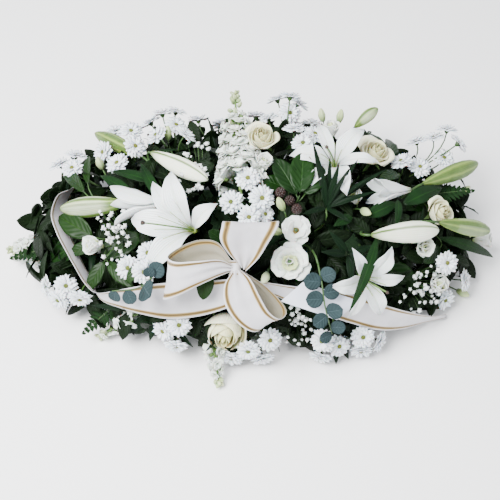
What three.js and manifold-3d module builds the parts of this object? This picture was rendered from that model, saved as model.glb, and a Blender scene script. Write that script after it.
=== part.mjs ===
// A funeral cushion: white lilies, roses, lisianthus, spray chrysanthemums, stock and gypsophila with
// foliage, set in wet foam in a low tray and dressed with a ribbon bow, a sash and a blank card.
// Millimetres, +Z up. The origin is the centre of the tray's underside, and the front faces -Y.
import * as THREE from 'three';
import Module from 'manifold-3d';

const wasm = await Module();
wasm.setup();

const V = (x, y, z) => new THREE.Vector3(x, y, z);
const clearance = 0.4; // kept between neighbours that aren't joined

// The view that the places are given in, and the dome that the flowers stand out to.
const viewElevation = THREE.MathUtils.degToRad(55);
const viewDistance = 1700;
const unit = 1.66; // one step across or down the view, at the origin
const viewMiddle = 250;
const dome = { across: 370, deep: 225, high: 195, base: 15 };
const sunk = 0.5; // how much of its width a branch has at its root, inside its stem
const lowest = 9; // no leaf or bloom's middle is set lower than this

const right = V(1, 0, 0);
const up = V(0, Math.sin(viewElevation), Math.cos(viewElevation));
const toward = V(0, -Math.cos(viewElevation), Math.sin(viewElevation));
const eye = toward.clone().multiplyScalar(viewDistance);

// The point seen at (u, v), so far towards the eye from the plane through the origin.
function inView(u, v, near = 0) {
  const ray = toward.clone().multiplyScalar(-viewDistance)
    .addScaledVector(right, (u - viewMiddle) * unit)
    .addScaledVector(up, (viewMiddle - v) * unit);
  return eye.clone().addScaledVector(ray, 1 - near / viewDistance);
}

// The point seen at (u, v) on the dome grown by lift. Off the dome it is the nearest point of the ray.
function seat([u, v, lift = 0]) {
  const semi = V(dome.across + lift, dome.deep + lift, dome.high + lift);
  const from = eye.clone().sub(V(0, 0, dome.base)).divide(semi);
  const ray = inView(u, v).sub(eye);
  const step = ray.clone().divide(semi);
  const a = step.lengthSq();
  const b = 2 * from.dot(step);
  const root = b * b - 4 * a * (from.lengthSq() - 1);
  let s = (-b - Math.sqrt(Math.max(root, 0))) / (2 * a);
  if (eye.z + ray.z * s < lowest) s = (lowest - eye.z) / ray.z;
  return eye.clone().addScaledVector(ray, s);
}

// A point of the dome by its bearing from +X and its height angle, for what the view doesn't reach.
function onDome([bearing, height, lift = 0]) {
  const a = THREE.MathUtils.degToRad(bearing);
  const h = THREE.MathUtils.degToRad(height);
  return V((dome.across + lift) * Math.cos(h) * Math.cos(a), (dome.deep + lift) * Math.cos(h) * Math.sin(a),
    dome.base + (dome.high + lift) * Math.sin(h));
}

const outward = (p) => V(p.x / dome.across ** 2, p.y / dome.deep ** 2, (p.z - dome.base) / dome.high ** 2)
  .normalize();
const facing = ([r, u, t]) => V(0, 0, 0).addScaledVector(right, r).addScaledVector(up, u)
  .addScaledVector(toward, t).normalize();

// A seeded random number, so that every build is alike.
let seed = 7;
function random(low, high) {
  seed = (seed * 1103515245 + 12345) % 2147483648;
  return low + (high - low) * (seed / 2147483648);
}

// Closed surfaces.
function surface(points, faces) {
  const geometry = new THREE.BufferGeometry();
  geometry.setAttribute('position',
    new THREE.Float32BufferAttribute(points.flatMap((p) => [p.x, p.y, p.z]), 3));
  geometry.setIndex(faces.flat());
  return geometry;
}

// Rings of four points, left, top, right and bottom, closed by one point at each end or by a flat start.
function ridged(root, rings, tip) {
  const points = root ? [root, ...rings.flat(), tip] : [...rings.flat(), tip];
  const first = root ? 1 : 0;
  const last = points.length - 1;
  const faces = root ? [] : [[0, 2, 1], [0, 3, 2]];
  for (let k = 0; k < 4; k += 1) {
    const n = (k + 1) % 4;
    if (root) faces.push([0, 1 + n, 1 + k]);
    for (let a = first; a + 8 <= last; a += 4) {
      faces.push([a + k, a + n, a + 4 + n], [a + k, a + 4 + n, a + 4 + k]);
    }
    faces.push([last - 4 + k, last - 4 + n, last]);
  }
  return surface(points, faces);
}

// A leaf: a thin ridged blade from its root, bent down by droop and folded up along its rib. With a path
// it has a stalk that comes along it to the root.
function leaf({ root, along, face, length, width, droop = 0.15, fold = 0.25, shape = [0.9, 0.8],
  thick = 1.2, path }) {
  const normal = face.clone().addScaledVector(along, -face.dot(along)).normalize();
  const side = along.clone().cross(normal).normalize();
  const stalk = 0.9;
  return (grow) => {
    const rib = (t) => root.clone().addScaledVector(along, length * t)
      .addScaledVector(normal, -droop * length * t * t);
    const blade = shape.map((share, i) => {
      const middle = rib((i + 1) / (shape.length + 1));
      const half = width / 2 * share + grow;
      const edge = (s) => middle.clone().addScaledVector(side, s * half)
        .addScaledVector(normal, fold * half);
      return [edge(-1), middle.clone().addScaledVector(normal, thick / 2 + grow), edge(1),
        middle.clone().addScaledVector(normal, -thick / 2 - grow)];
    });
    const stalkRings = (path || []).map((p, i) => {
      const ahead = i < path.length - 1 ? path[i + 1].clone().sub(p) : along.clone();
      ahead.normalize();
      const across = side.clone().addScaledVector(ahead, -side.dot(ahead)).normalize()
        .multiplyScalar(stalk * (i ? 1 : sunk) + grow);
      const above = across.clone().cross(ahead);
      return [p.clone().sub(across), p.clone().add(above), p.clone().add(across), p.clone().sub(above)];
    });
    return ridged(path ? null : rib(0), [...stalkRings, ...blade], rib(1 + grow / length));
  };
}

// Petals standing round an axis. rib lists each petal's [radius, height, half width] from root to tip.
function petal({ rib, angle, thick = 1.3, edge = 1, edgeUp = 0 }) {
  return (grow) => {
    const at = (r, a, z) => V(r * Math.cos(a), r * Math.sin(a), z);
    const rings = rib.slice(1, -1).map(([r, z, half], i) => {
      const slope = V(rib[i + 2][0] - rib[i][0], 0, rib[i + 2][1] - rib[i][1]).normalize();
      const out = thick / 2 + grow;
      const swing = Math.min((half + grow) / Math.max(r, 1), 1.25);
      const rimmed = (s) => at(r * edge, angle + s * swing, z + edgeUp * half);
      return [rimmed(1), at(r - slope.z * out, angle, z + slope.x * out), rimmed(-1),
        at(r + slope.z * out, angle, z - slope.x * out)];
    });
    const [root, tip] = [rib[0], rib.at(-1)];
    return ridged(at(root[0], angle, root[1]), rings, at(tip[0], angle, tip[1]));
  };
}

// A star of petals raised from one disc: its tips and notches share one rim, over a pointed calyx.
function star({ radius, petals, notch = 0.62, cup = 0.14, crown = 0.2, calyx = 0.4 }) {
  return (grow) => {
    const points = [V(0, 0, crown * radius + grow), V(0, 0, -calyx * radius - grow)];
    for (let i = 0; i < 2 * petals; i += 1) {
      const a = Math.PI * i / petals;
      const r = (i % 2 ? notch : 1) * radius + grow;
      points.push(V(r * Math.cos(a), r * Math.sin(a), cup * radius * (i % 2 ? 0.2 : 1)));
    }
    const faces = [];
    for (let i = 0; i < 2 * petals; i += 1) {
      const [a, b] = [2 + i, 2 + (i + 1) % (2 * petals)];
      faces.push([0, a, b], [1, b, a]);
    }
    return surface(points, faces);
  };
}

// A cup of lobes joined in one bloom: its wall goes from the base outside to the rim and down inside.
function cup({ wall, floor, lobes, notch = 0.18, dip = 4, rim }) {
  return (grow) => {
    const points = [V(0, 0, wall[0][1] - grow)];
    wall.slice(1).forEach(([r, z], i) => {
      const share = Math.max(0, 1 - Math.abs(i - rim) * 0.45);
      for (let k = 0; k < 2 * lobes; k += 1) {
        const a = Math.PI * k / lobes;
        const low = k % 2 ? share : 0;
        const reach = r * (1 - notch * low) + (i <= rim ? grow : 0);
        points.push(V(reach * Math.cos(a), reach * Math.sin(a), z - dip * low + (i >= rim ? grow : 0)));
      }
    });
    points.push(V(0, 0, floor + grow));
    const count = 2 * lobes;
    const last = points.length - 1;
    const faces = [];
    for (let k = 0; k < count; k += 1) {
      const n = (k + 1) % count;
      faces.push([0, 1 + n, 1 + k], [last - count + k, last - count + n, last]);
      for (let a = 1; a + count < last; a += count) {
        faces.push([a + k, a + n, a + count + n], [a + k, a + count + n, a + count + k]);
      }
    }
    return surface(points, faces);
  };
}

// A bud: a spindle along +Z from its root, widest at the share swell, with three soft ribs.
function spindle({ length, radius, swell = 0.6, sides = 6, rings = 4, ribbed = 0 }) {
  return (grow) => {
    const points = [V(0, 0, -grow)];
    for (let i = 1; i <= rings; i += 1) {
      const t = i / (rings + 1);
      const bulge = Math.sin(Math.PI * t ** (Math.log(0.5) / Math.log(swell))) ** 0.8;
      for (let k = 0; k < sides; k += 1) {
        const a = 2 * Math.PI * k / sides;
        const r = radius * bulge * (1 + ribbed * Math.cos(3 * a)) + grow;
        points.push(V(r * Math.cos(a), r * Math.sin(a), length * t));
      }
    }
    points.push(V(0, 0, length + grow));
    const last = points.length - 1;
    const faces = [];
    for (let k = 0; k < sides; k += 1) {
      const n = (k + 1) % sides;
      faces.push([0, 1 + n, 1 + k], [last - sides + k, last - sides + n, last]);
      for (let i = 0; i < rings - 1; i += 1) {
        const a = 1 + sides * i;
        faces.push([a + k, a + n, a + sides + n], [a + k, a + sides + n, a + sides + k]);
      }
    }
    return surface(points, faces);
  };
}

// Rings of a few points across a path, each with its own radius.
function ringsAlong(points, radii, sides) {
  return points.map((p, i) => {
    const ahead = points[Math.min(i + 1, points.length - 1)].clone().sub(points[Math.max(i - 1, 0)])
      .normalize();
    const first = V(0.31, 0.83, 0.46).cross(ahead).normalize();
    const second = ahead.clone().cross(first);
    return Array.from({ length: sides }, (_, k) => {
      const a = 2 * Math.PI * k / sides;
      return p.clone().addScaledVector(first, radii[i] * Math.cos(a))
        .addScaledVector(second, radii[i] * Math.sin(a));
    });
  });
}

// The faces of a wall between rings of alike count, with the first ring closed by a flat cap.
function ringFaces(count, rings) {
  const faces = [];
  for (let k = 0; k < count; k += 1) {
    const n = (k + 1) % count;
    for (let a = 0; a < count * (rings - 1); a += count) {
      faces.push([a + k, a + n, a + count + n], [a + k, a + count + n, a + count + k]);
    }
  }
  for (let k = 1; k < count - 1; k += 1) faces.push([0, k + 1, k]);
  return faces;
}

// A tapered stem through points, with few sides. A bead, [length, radius], makes its end a bud.
function tube(points, radius, { sides = 4, taper = 0.8, bead = null, whole = false } = {}) {
  const last = points.length - 1;
  const radii = points.map((_, i) => radius * (1 - (1 - taper) * i / last) * (i || whole ? 1 : sunk));
  const line = [...points];
  if (bead) {
    const [length, fat] = bead;
    const ahead = points[last].clone().sub(points[last - 1]).normalize();
    line.push(points[last].clone().addScaledVector(ahead, 0.3 * length));
    line.push(points[last].clone().addScaledVector(ahead, 0.65 * length));
    radii.push(fat, fat * 0.85);
  }
  return (grow) => {
    const rings = ringsAlong(line, radii.map((r) => r + grow), sides);
    const faces = ringFaces(sides, rings.length);
    const end = sides * (rings.length - 1);
    const all = rings.flat();
    if (bead) {
      const ahead = points[last].clone().sub(points[last - 1]).normalize();
      all.push(points[last].clone().addScaledVector(ahead, bead[0] + grow));
      for (let k = 0; k < sides; k += 1) faces.push([end + k, end + (k + 1) % sides, all.length - 1]);
    } else {
      for (let k = 1; k < sides - 1; k += 1) faces.push([end, end + k, end + k + 1]);
    }
    return surface(all, faces);
  };
}

// A star on its stalk, as one surface: the stalk's three corners widen to the star's rim.
function stalkedStar({ place, direction, path, radius, petals, stalk = 1.3, notch = 0.62, cup: lift = 0.14,
  crown = 0.2 }) {
  const turn = new THREE.Quaternion().setFromUnitVectors(V(0, 0, 1), direction);
  return (grow) => {
    const rings = ringsAlong(path, path.map((_, i) => stalk * (i ? 1 : sunk) + grow), 3);
    const points = rings.flat();
    const faces = ringFaces(3, rings.length);
    const neck = points.length - 3;
    const rim = points.length;
    const count = 2 * petals;
    for (let i = 0; i < count; i += 1) {
      const a = Math.PI * i / petals;
      const r = (i % 2 ? notch : 1) * radius + grow;
      points.push(V(r * Math.cos(a), r * Math.sin(a), lift * radius * (i % 2 ? 0.2 : 1))
        .applyQuaternion(turn).add(place));
    }
    points.push(place.clone().addScaledVector(direction, crown * radius + grow));
    const around = (p) => {
      const local = p.clone().sub(place).applyQuaternion(turn.clone().invert());
      return Math.atan2(local.y, local.x);
    };
    const offset = Math.round(around(points[neck]) * petals / Math.PI);
    for (let i = 0; i < count; i += 1) {
      const a = rim + (i + offset + count) % count;
      const b = rim + (i + 1 + offset + count) % count;
      const j = Math.floor(3 * (i + 0.5) / count);
      const before = Math.floor(3 * (i - 0.5) / count);
      if (i && j !== before) faces.push([neck + before, neck + j, a]);
      faces.push([neck + j, b, a], [a, b, points.length - 1]);
    }
    faces.push([neck + 2, neck, rim + (offset + count) % count]);
    return surface(points, faces);
  };
}

// A ribbon between two edges, each a list of points.
function strip(edgeA, edgeB, thick) {
  return (grow) => {
    const rings = edgeA.map((a, i) => {
      const b = edgeB[i];
      const ahead = edgeA[Math.min(i + 1, edgeA.length - 1)].clone()
        .add(edgeB[Math.min(i + 1, edgeB.length - 1)])
        .sub(edgeA[Math.max(i - 1, 0)]).sub(edgeB[Math.max(i - 1, 0)]);
      const across = b.clone().sub(a);
      const normal = ahead.cross(across).normalize().multiplyScalar(thick / 2 + grow);
      return [a.clone().add(normal), a.clone().sub(normal), b.clone().sub(normal), b.clone().add(normal)];
    });
    const faces = [[0, 2, 1], [0, 3, 2]];
    for (let i = 0; i < rings.length - 1; i += 1) {
      const a = 4 * i;
      for (let k = 0; k < 3; k += 1) {
        faces.push([a + k, a + k + 1, a + 5 + k], [a + k, a + 5 + k, a + 4 + k]);
      }
      // Both sides of a twisted stretch share one diagonal.
      faces.push([a + 3, a, a + 7], [a, a + 4, a + 7]);
    }
    const e = 4 * (rings.length - 1);
    faces.push([e, e + 1, e + 2], [e, e + 2, e + 3]);
    return surface(rings.flat(), faces);
  };
}

// A leathery frond: one thin arched blade, its outline cut to the rib into leaflets.
function frond({ root, tip, face, width, leaflets, droop = 0.2, thick = 1.4 }) {
  const along = tip.clone().sub(root);
  const length = along.length();
  along.normalize();
  const normal = face.clone().addScaledVector(along, -face.dot(along)).normalize();
  const side = along.clone().cross(normal);
  const rib = (t) => root.clone().addScaledVector(along, length * t)
    .addScaledVector(normal, droop * length * t * (1 - t));
  const make = (grow) => {
    const half = (t) => width / 2 * Math.min(1, (1.05 - t) * 1.6) * Math.min(1, 0.35 + t * 2.2);
    const points = [];
    const rim = (t, w, s) => rib(t).addScaledVector(side, s * (w + grow)).addScaledVector(normal, 0.12 * w);
    for (let i = 0; i <= leaflets; i += 1) { // each row: top rib, under rib, left notch, right notch
      const t = i / leaflets;
      const notch = i === leaflets ? 0.4 : 0.22 * half(t) + 0.8;
      points.push(rib(t).addScaledVector(normal, thick / 2 + grow),
        rib(t).addScaledVector(normal, -thick / 2 - grow),
        rim(t, notch, -1), rim(t, notch, 1));
    }
    const tips = points.length;
    for (let i = 0; i < leaflets; i += 1) { // each leaflet's tip leans towards the frond's tip
      const t = (i + 0.5) / leaflets;
      points.push(rim(t + 0.35 / leaflets, half(t), -1), rim(t + 0.35 / leaflets, half(t), 1));
    }
    const faces = [[0, 2, 1], [0, 1, 3]];
    for (let i = 0; i < leaflets; i += 1) {
      const [a, b] = [4 * i, 4 * i + 4];
      const [l, r] = [tips + 2 * i, tips + 2 * i + 1];
      faces.push([a, l, a + 2], [a, b, l], [b, b + 2, l]);
      faces.push([a + 1, a + 2, l], [a + 1, l, b + 1], [b + 1, l, b + 2]);
      faces.push([a, a + 3, r], [a, r, b], [b, r, b + 3]);
      faces.push([a + 1, r, a + 3], [a + 1, b + 1, r], [b + 1, b + 3, r]);
    }
    const e = 4 * leaflets;
    faces.push([e, e + 1, e + 2], [e, e + 3, e + 1]);
    return surface(points, faces);
  };
  return Object.assign(make, { rib });
}

// Joining, and keeping clear.
const bunches = []; // every node: its name, material and pieces
const placed = []; // every piece: its solid, box and bunch

function bunch(name, material) {
  const made = { name, material, pieces: [] };
  bunches.push(made);
  return made;
}

function toSolid(geometry) {
  return new wasm.Manifold(new wasm.Mesh({
    numProp: 3,
    vertProperties: geometry.getAttribute('position').array,
    triVerts: new Uint32Array(geometry.index.array),
  }));
}

// Moves a piece that was made round +Z so that +Z points along a direction at a place.
function stood(make, place, direction, spin = 0) {
  const turn = new THREE.Quaternion().setFromUnitVectors(V(0, 0, 1), direction)
    .multiply(new THREE.Quaternion().setFromAxisAngle(V(0, 0, 1), spin));
  const matrix = new THREE.Matrix4().compose(place, turn, V(1, 1, 1));
  return (grow) => make(grow).applyMatrix4(matrix);
}

// What a piece would cross: the ground, another bunch or, where avoided, its own bunch's heads.
function whatCrosses(owner, make, { isStem = false, avoid = [] } = {}) {
  const geometry = make(clearance);
  geometry.computeBoundingBox();
  const box = geometry.boundingBox;
  if (box.min.z < 1) return 'the ground';
  const near = placed.filter((p) => (p.owner !== owner || avoid.includes(p))
    && !(isStem && p.stemsPass) && p.box.intersectsBox(box));
  if (!near.length) return null;
  const solid = toSolid(geometry);
  const hit = near.find((p) => !p.solid.intersect(solid).isEmpty());
  return hit ? hit.owner.name : null;
}

function put(owner, make) {
  const geometry = make(0);
  geometry.computeBoundingBox();
  const piece = { owner, make, solid: toSolid(geometry), box: geometry.boundingBox };
  owner.pieces.push(piece);
  placed.push(piece);
  return piece;
}

function takeAway(piece) {
  piece.owner.pieces.splice(piece.owner.pieces.indexOf(piece), 1);
  placed.splice(placed.indexOf(piece), 1);
}

const crossings = [];
// A piece that has one place only.
function fix(owner, make, label = '') {
  const hit = whatCrosses(owner, make);
  if (hit) crossings.push(owner.name + ' ' + label + ' crosses ' + hit);
  return put(owner, make);
}

// A piece that bends clear: the first of its ways that crosses nothing, or none.
function bendClear(owner, ways, options = {}) {
  const make = ways.find((way) => !whatCrosses(owner, way, options));
  return make ? put(owner, make) : null;
}

// Stems, branches and leaves, which find their own way.
const foam = { long: 440, wide: 140, bottom: 3, top: 80, corner: 18, chamfer: 8 };
const footHeight = 56; // how deep a stem's foot stands
const foot = (end, shift = 0) => V(
  THREE.MathUtils.clamp(0.55 * end.x + shift, -0.46 * foam.long, 0.46 * foam.long),
  THREE.MathUtils.clamp(0.25 * end.y, -48, 48),
  footHeight,
);

function curve(start, control, end, steps) {
  return new THREE.QuadraticBezierCurve3(start, control, end).getPoints(steps);
}

// A stem from a hole in the foam to its end, arriving along a direction.
function stemTo(owner, end, arrive, radius = 2.2) {
  const ways = [];
  for (const shift of [0, 11, -11, 22, -22, 33, -33, 44, -44, 60, -60]) {
    for (const sway of [0, 14, -14, 28, -28, 42, -42]) {
      for (const bend of [0.3, 0.5, 0.12]) {
        const start = foot(end, shift);
        const side = end.clone().sub(start).cross(V(0, 0, 1)).normalize();
        const control = end.clone().addScaledVector(arrive, -end.distanceTo(start) * bend)
          .addScaledVector(side, sway);
        const path = curve(start, control, end, 2);
        ways.push(Object.assign(tube(path, radius, { sides: 3, taper: 0.8, whole: true }), { path }));
      }
    }
  }
  return bendClear(owner, ways, { isStem: true });
}

const sways = [[0, 0], [1, 0], [-1, 0], [0, 1], [0, -1], [2, 0], [-2, 0], [0, 2], [0, -2], [2, 2], [-2, -2],
  [2, -2], [-2, 2], [3.5, 0], [-3.5, 0], [0, 3.5], [0, -3.5], [3.5, 3.5], [-3.5, -3.5], [3.5, -3.5],
  [-3.5, 3.5]];

// A branch from a stem to where it carries something, arriving along a direction. build makes its shape.
function branchTo(owner, starts, end, arrive, own, build) {
  const straight = starts.map((start) => build([start, end]));
  const bent = starts.flatMap((start) => {
    const span = end.distanceTo(start);
    const side = end.clone().sub(start).cross(V(0.3, 0.1, 1)).normalize();
    const other = end.clone().sub(start).cross(side).normalize();
    return [0.35, 0.15, 0.6].flatMap((bend) => sways.map(([a, b]) => {
      const control = end.clone().addScaledVector(arrive, -span * bend)
        .addScaledVector(side, a * span * 0.12)
        .addScaledVector(other, b * span * 0.12);
      return build(curve(start, control, end, 2));
    }));
  });
  const ways = [...straight, ...bent];
  const heads = owner.pieces.filter((p) => p.isHead && !own.includes(p));
  const branches = owner.pieces.filter((p) => p.isBranch);
  const made = bendClear(owner, ways, { isStem: true, avoid: [...heads, ...branches] })
    || bendClear(owner, ways, { isStem: true, avoid: heads }) || bendClear(owner, ways, { isStem: true });
  if (made) made.isBranch = true;
  return made;
}

// A leaf that turns, droops or shortens until it is clear.
function leafFrom(owner, spec) {
  const side = spec.along.clone().cross(spec.face).normalize();
  const ways = [];
  for (const share of [1, 0.8, 0.62]) {
    for (const turn of [0, 0.25, -0.25, 0.5, -0.5]) {
      for (const tip of [0, 0.25, -0.25, 0.5]) {
        const along = spec.along.clone().applyAxisAngle(spec.face, turn).applyAxisAngle(side, tip)
          .normalize();
        ways.push(Object.assign(leaf({ ...spec, along, length: spec.length * share }),
          { along, reach: spec.length * share }));
      }
    }
  }
  return bendClear(owner, ways);
}

// A bloom or bud that slides along its line of sight until it is clear. Returns its place.
const slides = [0, 5, -5, 10, -10, 15, -15, 20, -20, 26, -26, 32, -32];
function slideIn(owner, makes, at, direction, label = '') {
  const heads = owner.pieces.filter((p) => p.isHead);
  for (const avoid of [heads, []]) {
    for (const slide of slides) {
      const place = placeOf(at, slide);
      const stand = makes.map((make) => stood(make, place, direction));
      if (stand.every((make) => !whatCrosses(owner, make, { avoid }))) {
        const pieces = stand.map((make) => Object.assign(put(owner, make), { isHead: true }));
        return { place, pieces };
      }
    }
  }
  crossings.push(owner.name + ' ' + label + ' ' + at + ' has no clear place');
  return null;
}
const placeOf = (at, slide = 0) => (at.back
  ? onDome([at.back[0], at.back[1], (at.back[2] || 0) + slide])
  : seat([at[0], at[1], (at[2] || 0) + slide]));

// What a bunch carries: each end of a branch, the way that it arrives and the pieces there. A head that
// is one surface with its stalk stands in its place until build makes both; a spare one may be left out.
function carry(owner, end, arrive, { radius, pieces = [], build = null, spare = false } = {}) {
  owner.ends = owner.ends || [];
  owner.ends.push({ end, arrive, radius, pieces, build, spare });
}

// Where branches may leave a stem, from just under its end down to half way.
const startsAlong = (path) => {
  const line = new THREE.CatmullRomCurve3(path, false, 'catmullrom', 0);
  return [0.97, 0.93, 0.89, 0.85, 0.81, 0.77, 0.73].map((t) => line.getPointAt(t));
};

// The stem of a bunch and a branch to each thing that it carries.
function growStem(owner, { share = 0.55, radius = 2.2, branch = 1.3 } = {}) {
  const middle = owner.ends.reduce((sum, e) => sum.add(e.end), V(0, 0, 0)).divideScalar(owner.ends.length);
  const base = foot(middle);
  const arrive = middle.clone().sub(base).normalize();
  if (owner.ends.length === 1 && !owner.ends[0].build) {
    const [only] = owner.ends;
    const stem = stemTo(owner, only.end, only.arrive, radius);
    if (!stem) crossings.push(owner.name + ' stem finds no way');
    owner.starts = stem ? startsAlong(stem.make.path) : [];
    return;
  }
  for (const at of [share, share - 0.12, share + 0.12, share - 0.22]) {
    for (const shift of [0, -9, 9, -18, 18]) {
      const end = base.clone().lerp(middle, at).add(V(shift, 0, 0));
      const stem = owner.starts ? null : stemTo(owner, end, arrive, radius);
      if (stem) owner.starts = startsAlong(stem.make.path);
    }
  }
  if (!owner.starts) {
    crossings.push(owner.name + ' stem finds no way');
    owner.starts = [base.lerp(middle, share)];
  }
  owner.ends.forEach(({ end, arrive: way, radius: own, pieces, build, spare }, i) => {
    const turn = i % owner.starts.length;
    const starts = [...owner.starts.slice(turn), ...owner.starts.slice(0, turn)];
    const plain = (path) => tube(path, own || branch, { sides: 3, taper: 0.85 });
    if (build) pieces.forEach(takeAway);
    const made = branchTo(owner, starts, end, way, pieces, build || plain);
    if (made && build) made.isHead = true;
    if (made) return;
    if (spare && !build) pieces.forEach(takeAway);
    if (!spare) crossings.push(owner.name + ' branch finds no way to ' + end.toArray().map(Math.round));
  });
}

// Colours.
const matt = 0.7;
const paint = (color, roughness = matt) => new THREE.MeshStandardMaterial(
  { color, roughness, metalness: 0 });
const white = paint('#eef1f0');
const cream = paint('#efe9cf');
const ivory = paint('#e4e0d6', 0.35);
const stemGreen = paint('#4f6f3a');
const leafGreen = paint('#1f4421', 0.45);
const palmGreen = paint('#2c5a2c', 0.45);
const fernGreen = paint('#16331c', 0.5);
const silverGreen = paint('#5f7f78');
const berryBrown = paint('#5a3a2c', 0.5);
const foamGreen = paint('#3c5a3a', 0.95);
const trayGreen = paint('#1c2b20', 0.5);
const paper = paint('#e9ecf6', 0.8);

// The tray, and the foam block that rests on its floor.
const tray = { long: 470, wide: 162, high: 38, wall: 2.5, corner: 22, flare: 5, floor: 2.6 };
function roundedOutline(long, wide, corner, steps = 3) {
  const points = [];
  for (const [cx, cy, first] of [[1, 1, 0], [-1, 1, 90], [-1, -1, 180], [1, -1, 270]]) {
    for (let i = 0; i <= steps; i += 1) {
      const a = THREE.MathUtils.degToRad(first + 90 * i / steps);
      points.push([cx * (long / 2 - corner) + corner * Math.cos(a),
        cy * (wide / 2 - corner) + corner * Math.sin(a)]);
    }
  }
  return points;
}
// A closed solid from stacked rounded rectangles, each [long, wide, corner, height].
function stack(levels) {
  const rings = levels.map(([long, wide, corner, z]) => roundedOutline(long, wide, corner)
    .map(([x, y]) => V(x, y, z)));
  const count = rings[0].length;
  const faces = [];
  for (let i = 0; i < rings.length - 1; i += 1) {
    for (let k = 0; k < count; k += 1) {
      const n = (k + 1) % count;
      const a = count * i;
      faces.push([a + k, a + n, a + count + n], [a + k, a + count + n, a + count + k]);
    }
  }
  const top = count * (rings.length - 1);
  for (let k = 1; k < count - 1; k += 1) faces.push([0, k + 1, k], [top, top + k, top + k + 1]);
  return surface(rings.flat(), faces);
}
const trayNode = bunch('tray', trayGreen);
const { long, wide, high, wall, corner, flare, floor } = tray;
trayNode.solid = toSolid(stack([
  [long - 2 * flare - 4, wide - 2 * flare - 4, corner, 0],
  [long - 2 * flare, wide - 2 * flare, corner, 2],
  [long, wide, corner, high],
])).subtract(toSolid(stack([
  [long - 2 * flare - 2 * wall, wide - 2 * flare - 2 * wall, corner - wall, floor],
  [long - 2 * wall + 0.3, wide - 2 * wall + 0.3, corner - wall, high + 1],
])));
const trayGuard = stack([[long - 10, wide - 10, corner, 0], [long + 1, wide + 1, corner, high]]);
put(trayNode, () => trayGuard.clone());
const foamNode = bunch('wet_foam', foamGreen);
const foamBlock = stack([
  [foam.long - 4, foam.wide - 4, foam.corner, foam.bottom],
  [foam.long, foam.wide, foam.corner, foam.bottom + 2],
  [foam.long, foam.wide, foam.corner, foam.top - foam.chamfer],
  [foam.long - 2 * foam.chamfer, foam.wide - 2 * foam.chamfer, foam.corner, foam.top],
]);
put(foamNode, () => foamBlock.clone()).stemsPass = true;

// The ribbon. Each bow loop is given by its two edges from the knot out and back: right, up, towards the eye.
const ribbonThick = 0.9;
const knotAt = seat([236, 268, 30]);
const fromKnot = ([r, u, t]) => knotAt.clone().addScaledVector(right, r).addScaledVector(up, u)
  .addScaledVector(toward, t);
const bowLoops = {
  left: [
    [[-4, 4, 6], [-24, 12, 20], [-55, 10, 32], [-84, 9, 28], [-96, 17, 8], [-78, 31, -10], [-52, 40, -16],
      [-26, 36, -13], [-6, 10, -5]],
    [[-4, -4, 3], [-24, -12, 10], [-55, -26, 18], [-84, -40, 14], [-104, -44, -4], [-92, -24, -26],
      [-60, -8, -32],
      [-30, 0, -22], [-6, 0, -7]],
  ],
  top: [
    [[6, 3, 8], [-12, 22, 16], [-22, 40, 22], [-20, 58, 22], [-18, 66, 12], [-14, 54, -4], [-6, 24, -6],
      [0, 6, -4]],
    [[14, -4, 7], [32, 14, 14], [46, 36, 20], [58, 56, 20], [60, 66, 10], [46, 50, -8], [24, 20, -8],
      [8, 4, -5]],
  ],
  right: [
    [[-4, -5, 7], [-16, -24, 14], [-16, -48, 20], [-2, -72, 20], [18, -88, 10], [34, -88, -6],
      [40, -66, -16],
      [26, -34, -14], [4, -8, -6]],
    [[6, -2, 8], [21, -16, 18], [35, -42, 26], [47, -62, 24], [62, -72, 12], [72, -64, -2], [66, -50, -12],
      [42, -26, -12], [9, -4, -5]],
  ],
};
// The sash, from its left curl to its right end, by its upper and lower edge.
const sashEdges = {
  upper: [
    [68, 190, 0], [57, 196, 10], [51, 214, 14], [56, 232, 16], [64, 248, 16], [74, 266, 14], [85, 284, 12],
    [97, 293, 12], [118, 290, 12], [140, 286, 12], [165, 283, 12], [205, 281, 12], [238, 279, 10],
      [262, 282, 8],
    [290, 286, 8], [320, 289, 10], [350, 294, 10], [378, 303, 10], [405, 311, 10], [430, 316, 8],
      [446, 314, 2],
  ],
  lower: [
    [74, 186, -52], [64, 196, -50], [58, 214, -50], [64, 234, -48], [73, 250, -46], [82, 266, -42],
      [92, 280, -34],
    [100, 299, -8], [120, 308, 2], [145, 315, 4], [172, 319, 4], [205, 315, 4], [238, 304, 4],
      [262, 293, -16],
    [290, 302, -8], [320, 313, 0], [350, 323, 2], [378, 330, 4], [402, 329, 4], [427, 322, 0],
      [446, 318, -6],
  ],
};
const ribbonBow = bunch('ribbon_bow', ivory);
const sash = bunch('ribbon_sash', ivory);
const sashUpper = sashEdges.upper.map(seat);
const sashLower = sashEdges.lower.map(seat);
fix(sash, strip(sashUpper, sashLower, ribbonThick));
const knot = { length: 31, radius: 14, swell: 0.5, sides: 7, rings: 3 };
fix(ribbonBow, stood(spindle(knot), fromKnot([0, -knot.length / 2, 2]), up), 'knot');
for (const [name, [edgeA, edgeB]] of Object.entries(bowLoops)) {
  fix(ribbonBow, strip(edgeA.map(fromKnot), edgeB.map(fromKnot), ribbonThick), name);
}

// The blank card lies flat on the sash.
const card = { corners: [[303, 282], [359, 301], [337, 320], [289, 296]], thick: 0.8 };
const cardNode = bunch('blank_card', paper);
const cardWays = Array.from({ length: 60 }, (_, i) => {
  const [a, b, c, d] = card.corners.map(([u, v]) => seat([u, v, i * 0.5]));
  d.copy(a).add(c).sub(b);
  return strip([a, b], [d, c], card.thick);
});
if (!bendClear(cardNode, cardWays)) crossings.push('blank_card has no clear place');

// Lilies.
const lilyRib = [[3, -44, 0], [12, -24, 6.5], [34, -4, 19], [58, 3, 18], [76, 0, 11], [84, -6, 0]];
const scaled = (rib, size, wide = 1) => rib.map(([r, z, half]) => [r * size, z * size, half * size * wide]);
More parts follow.
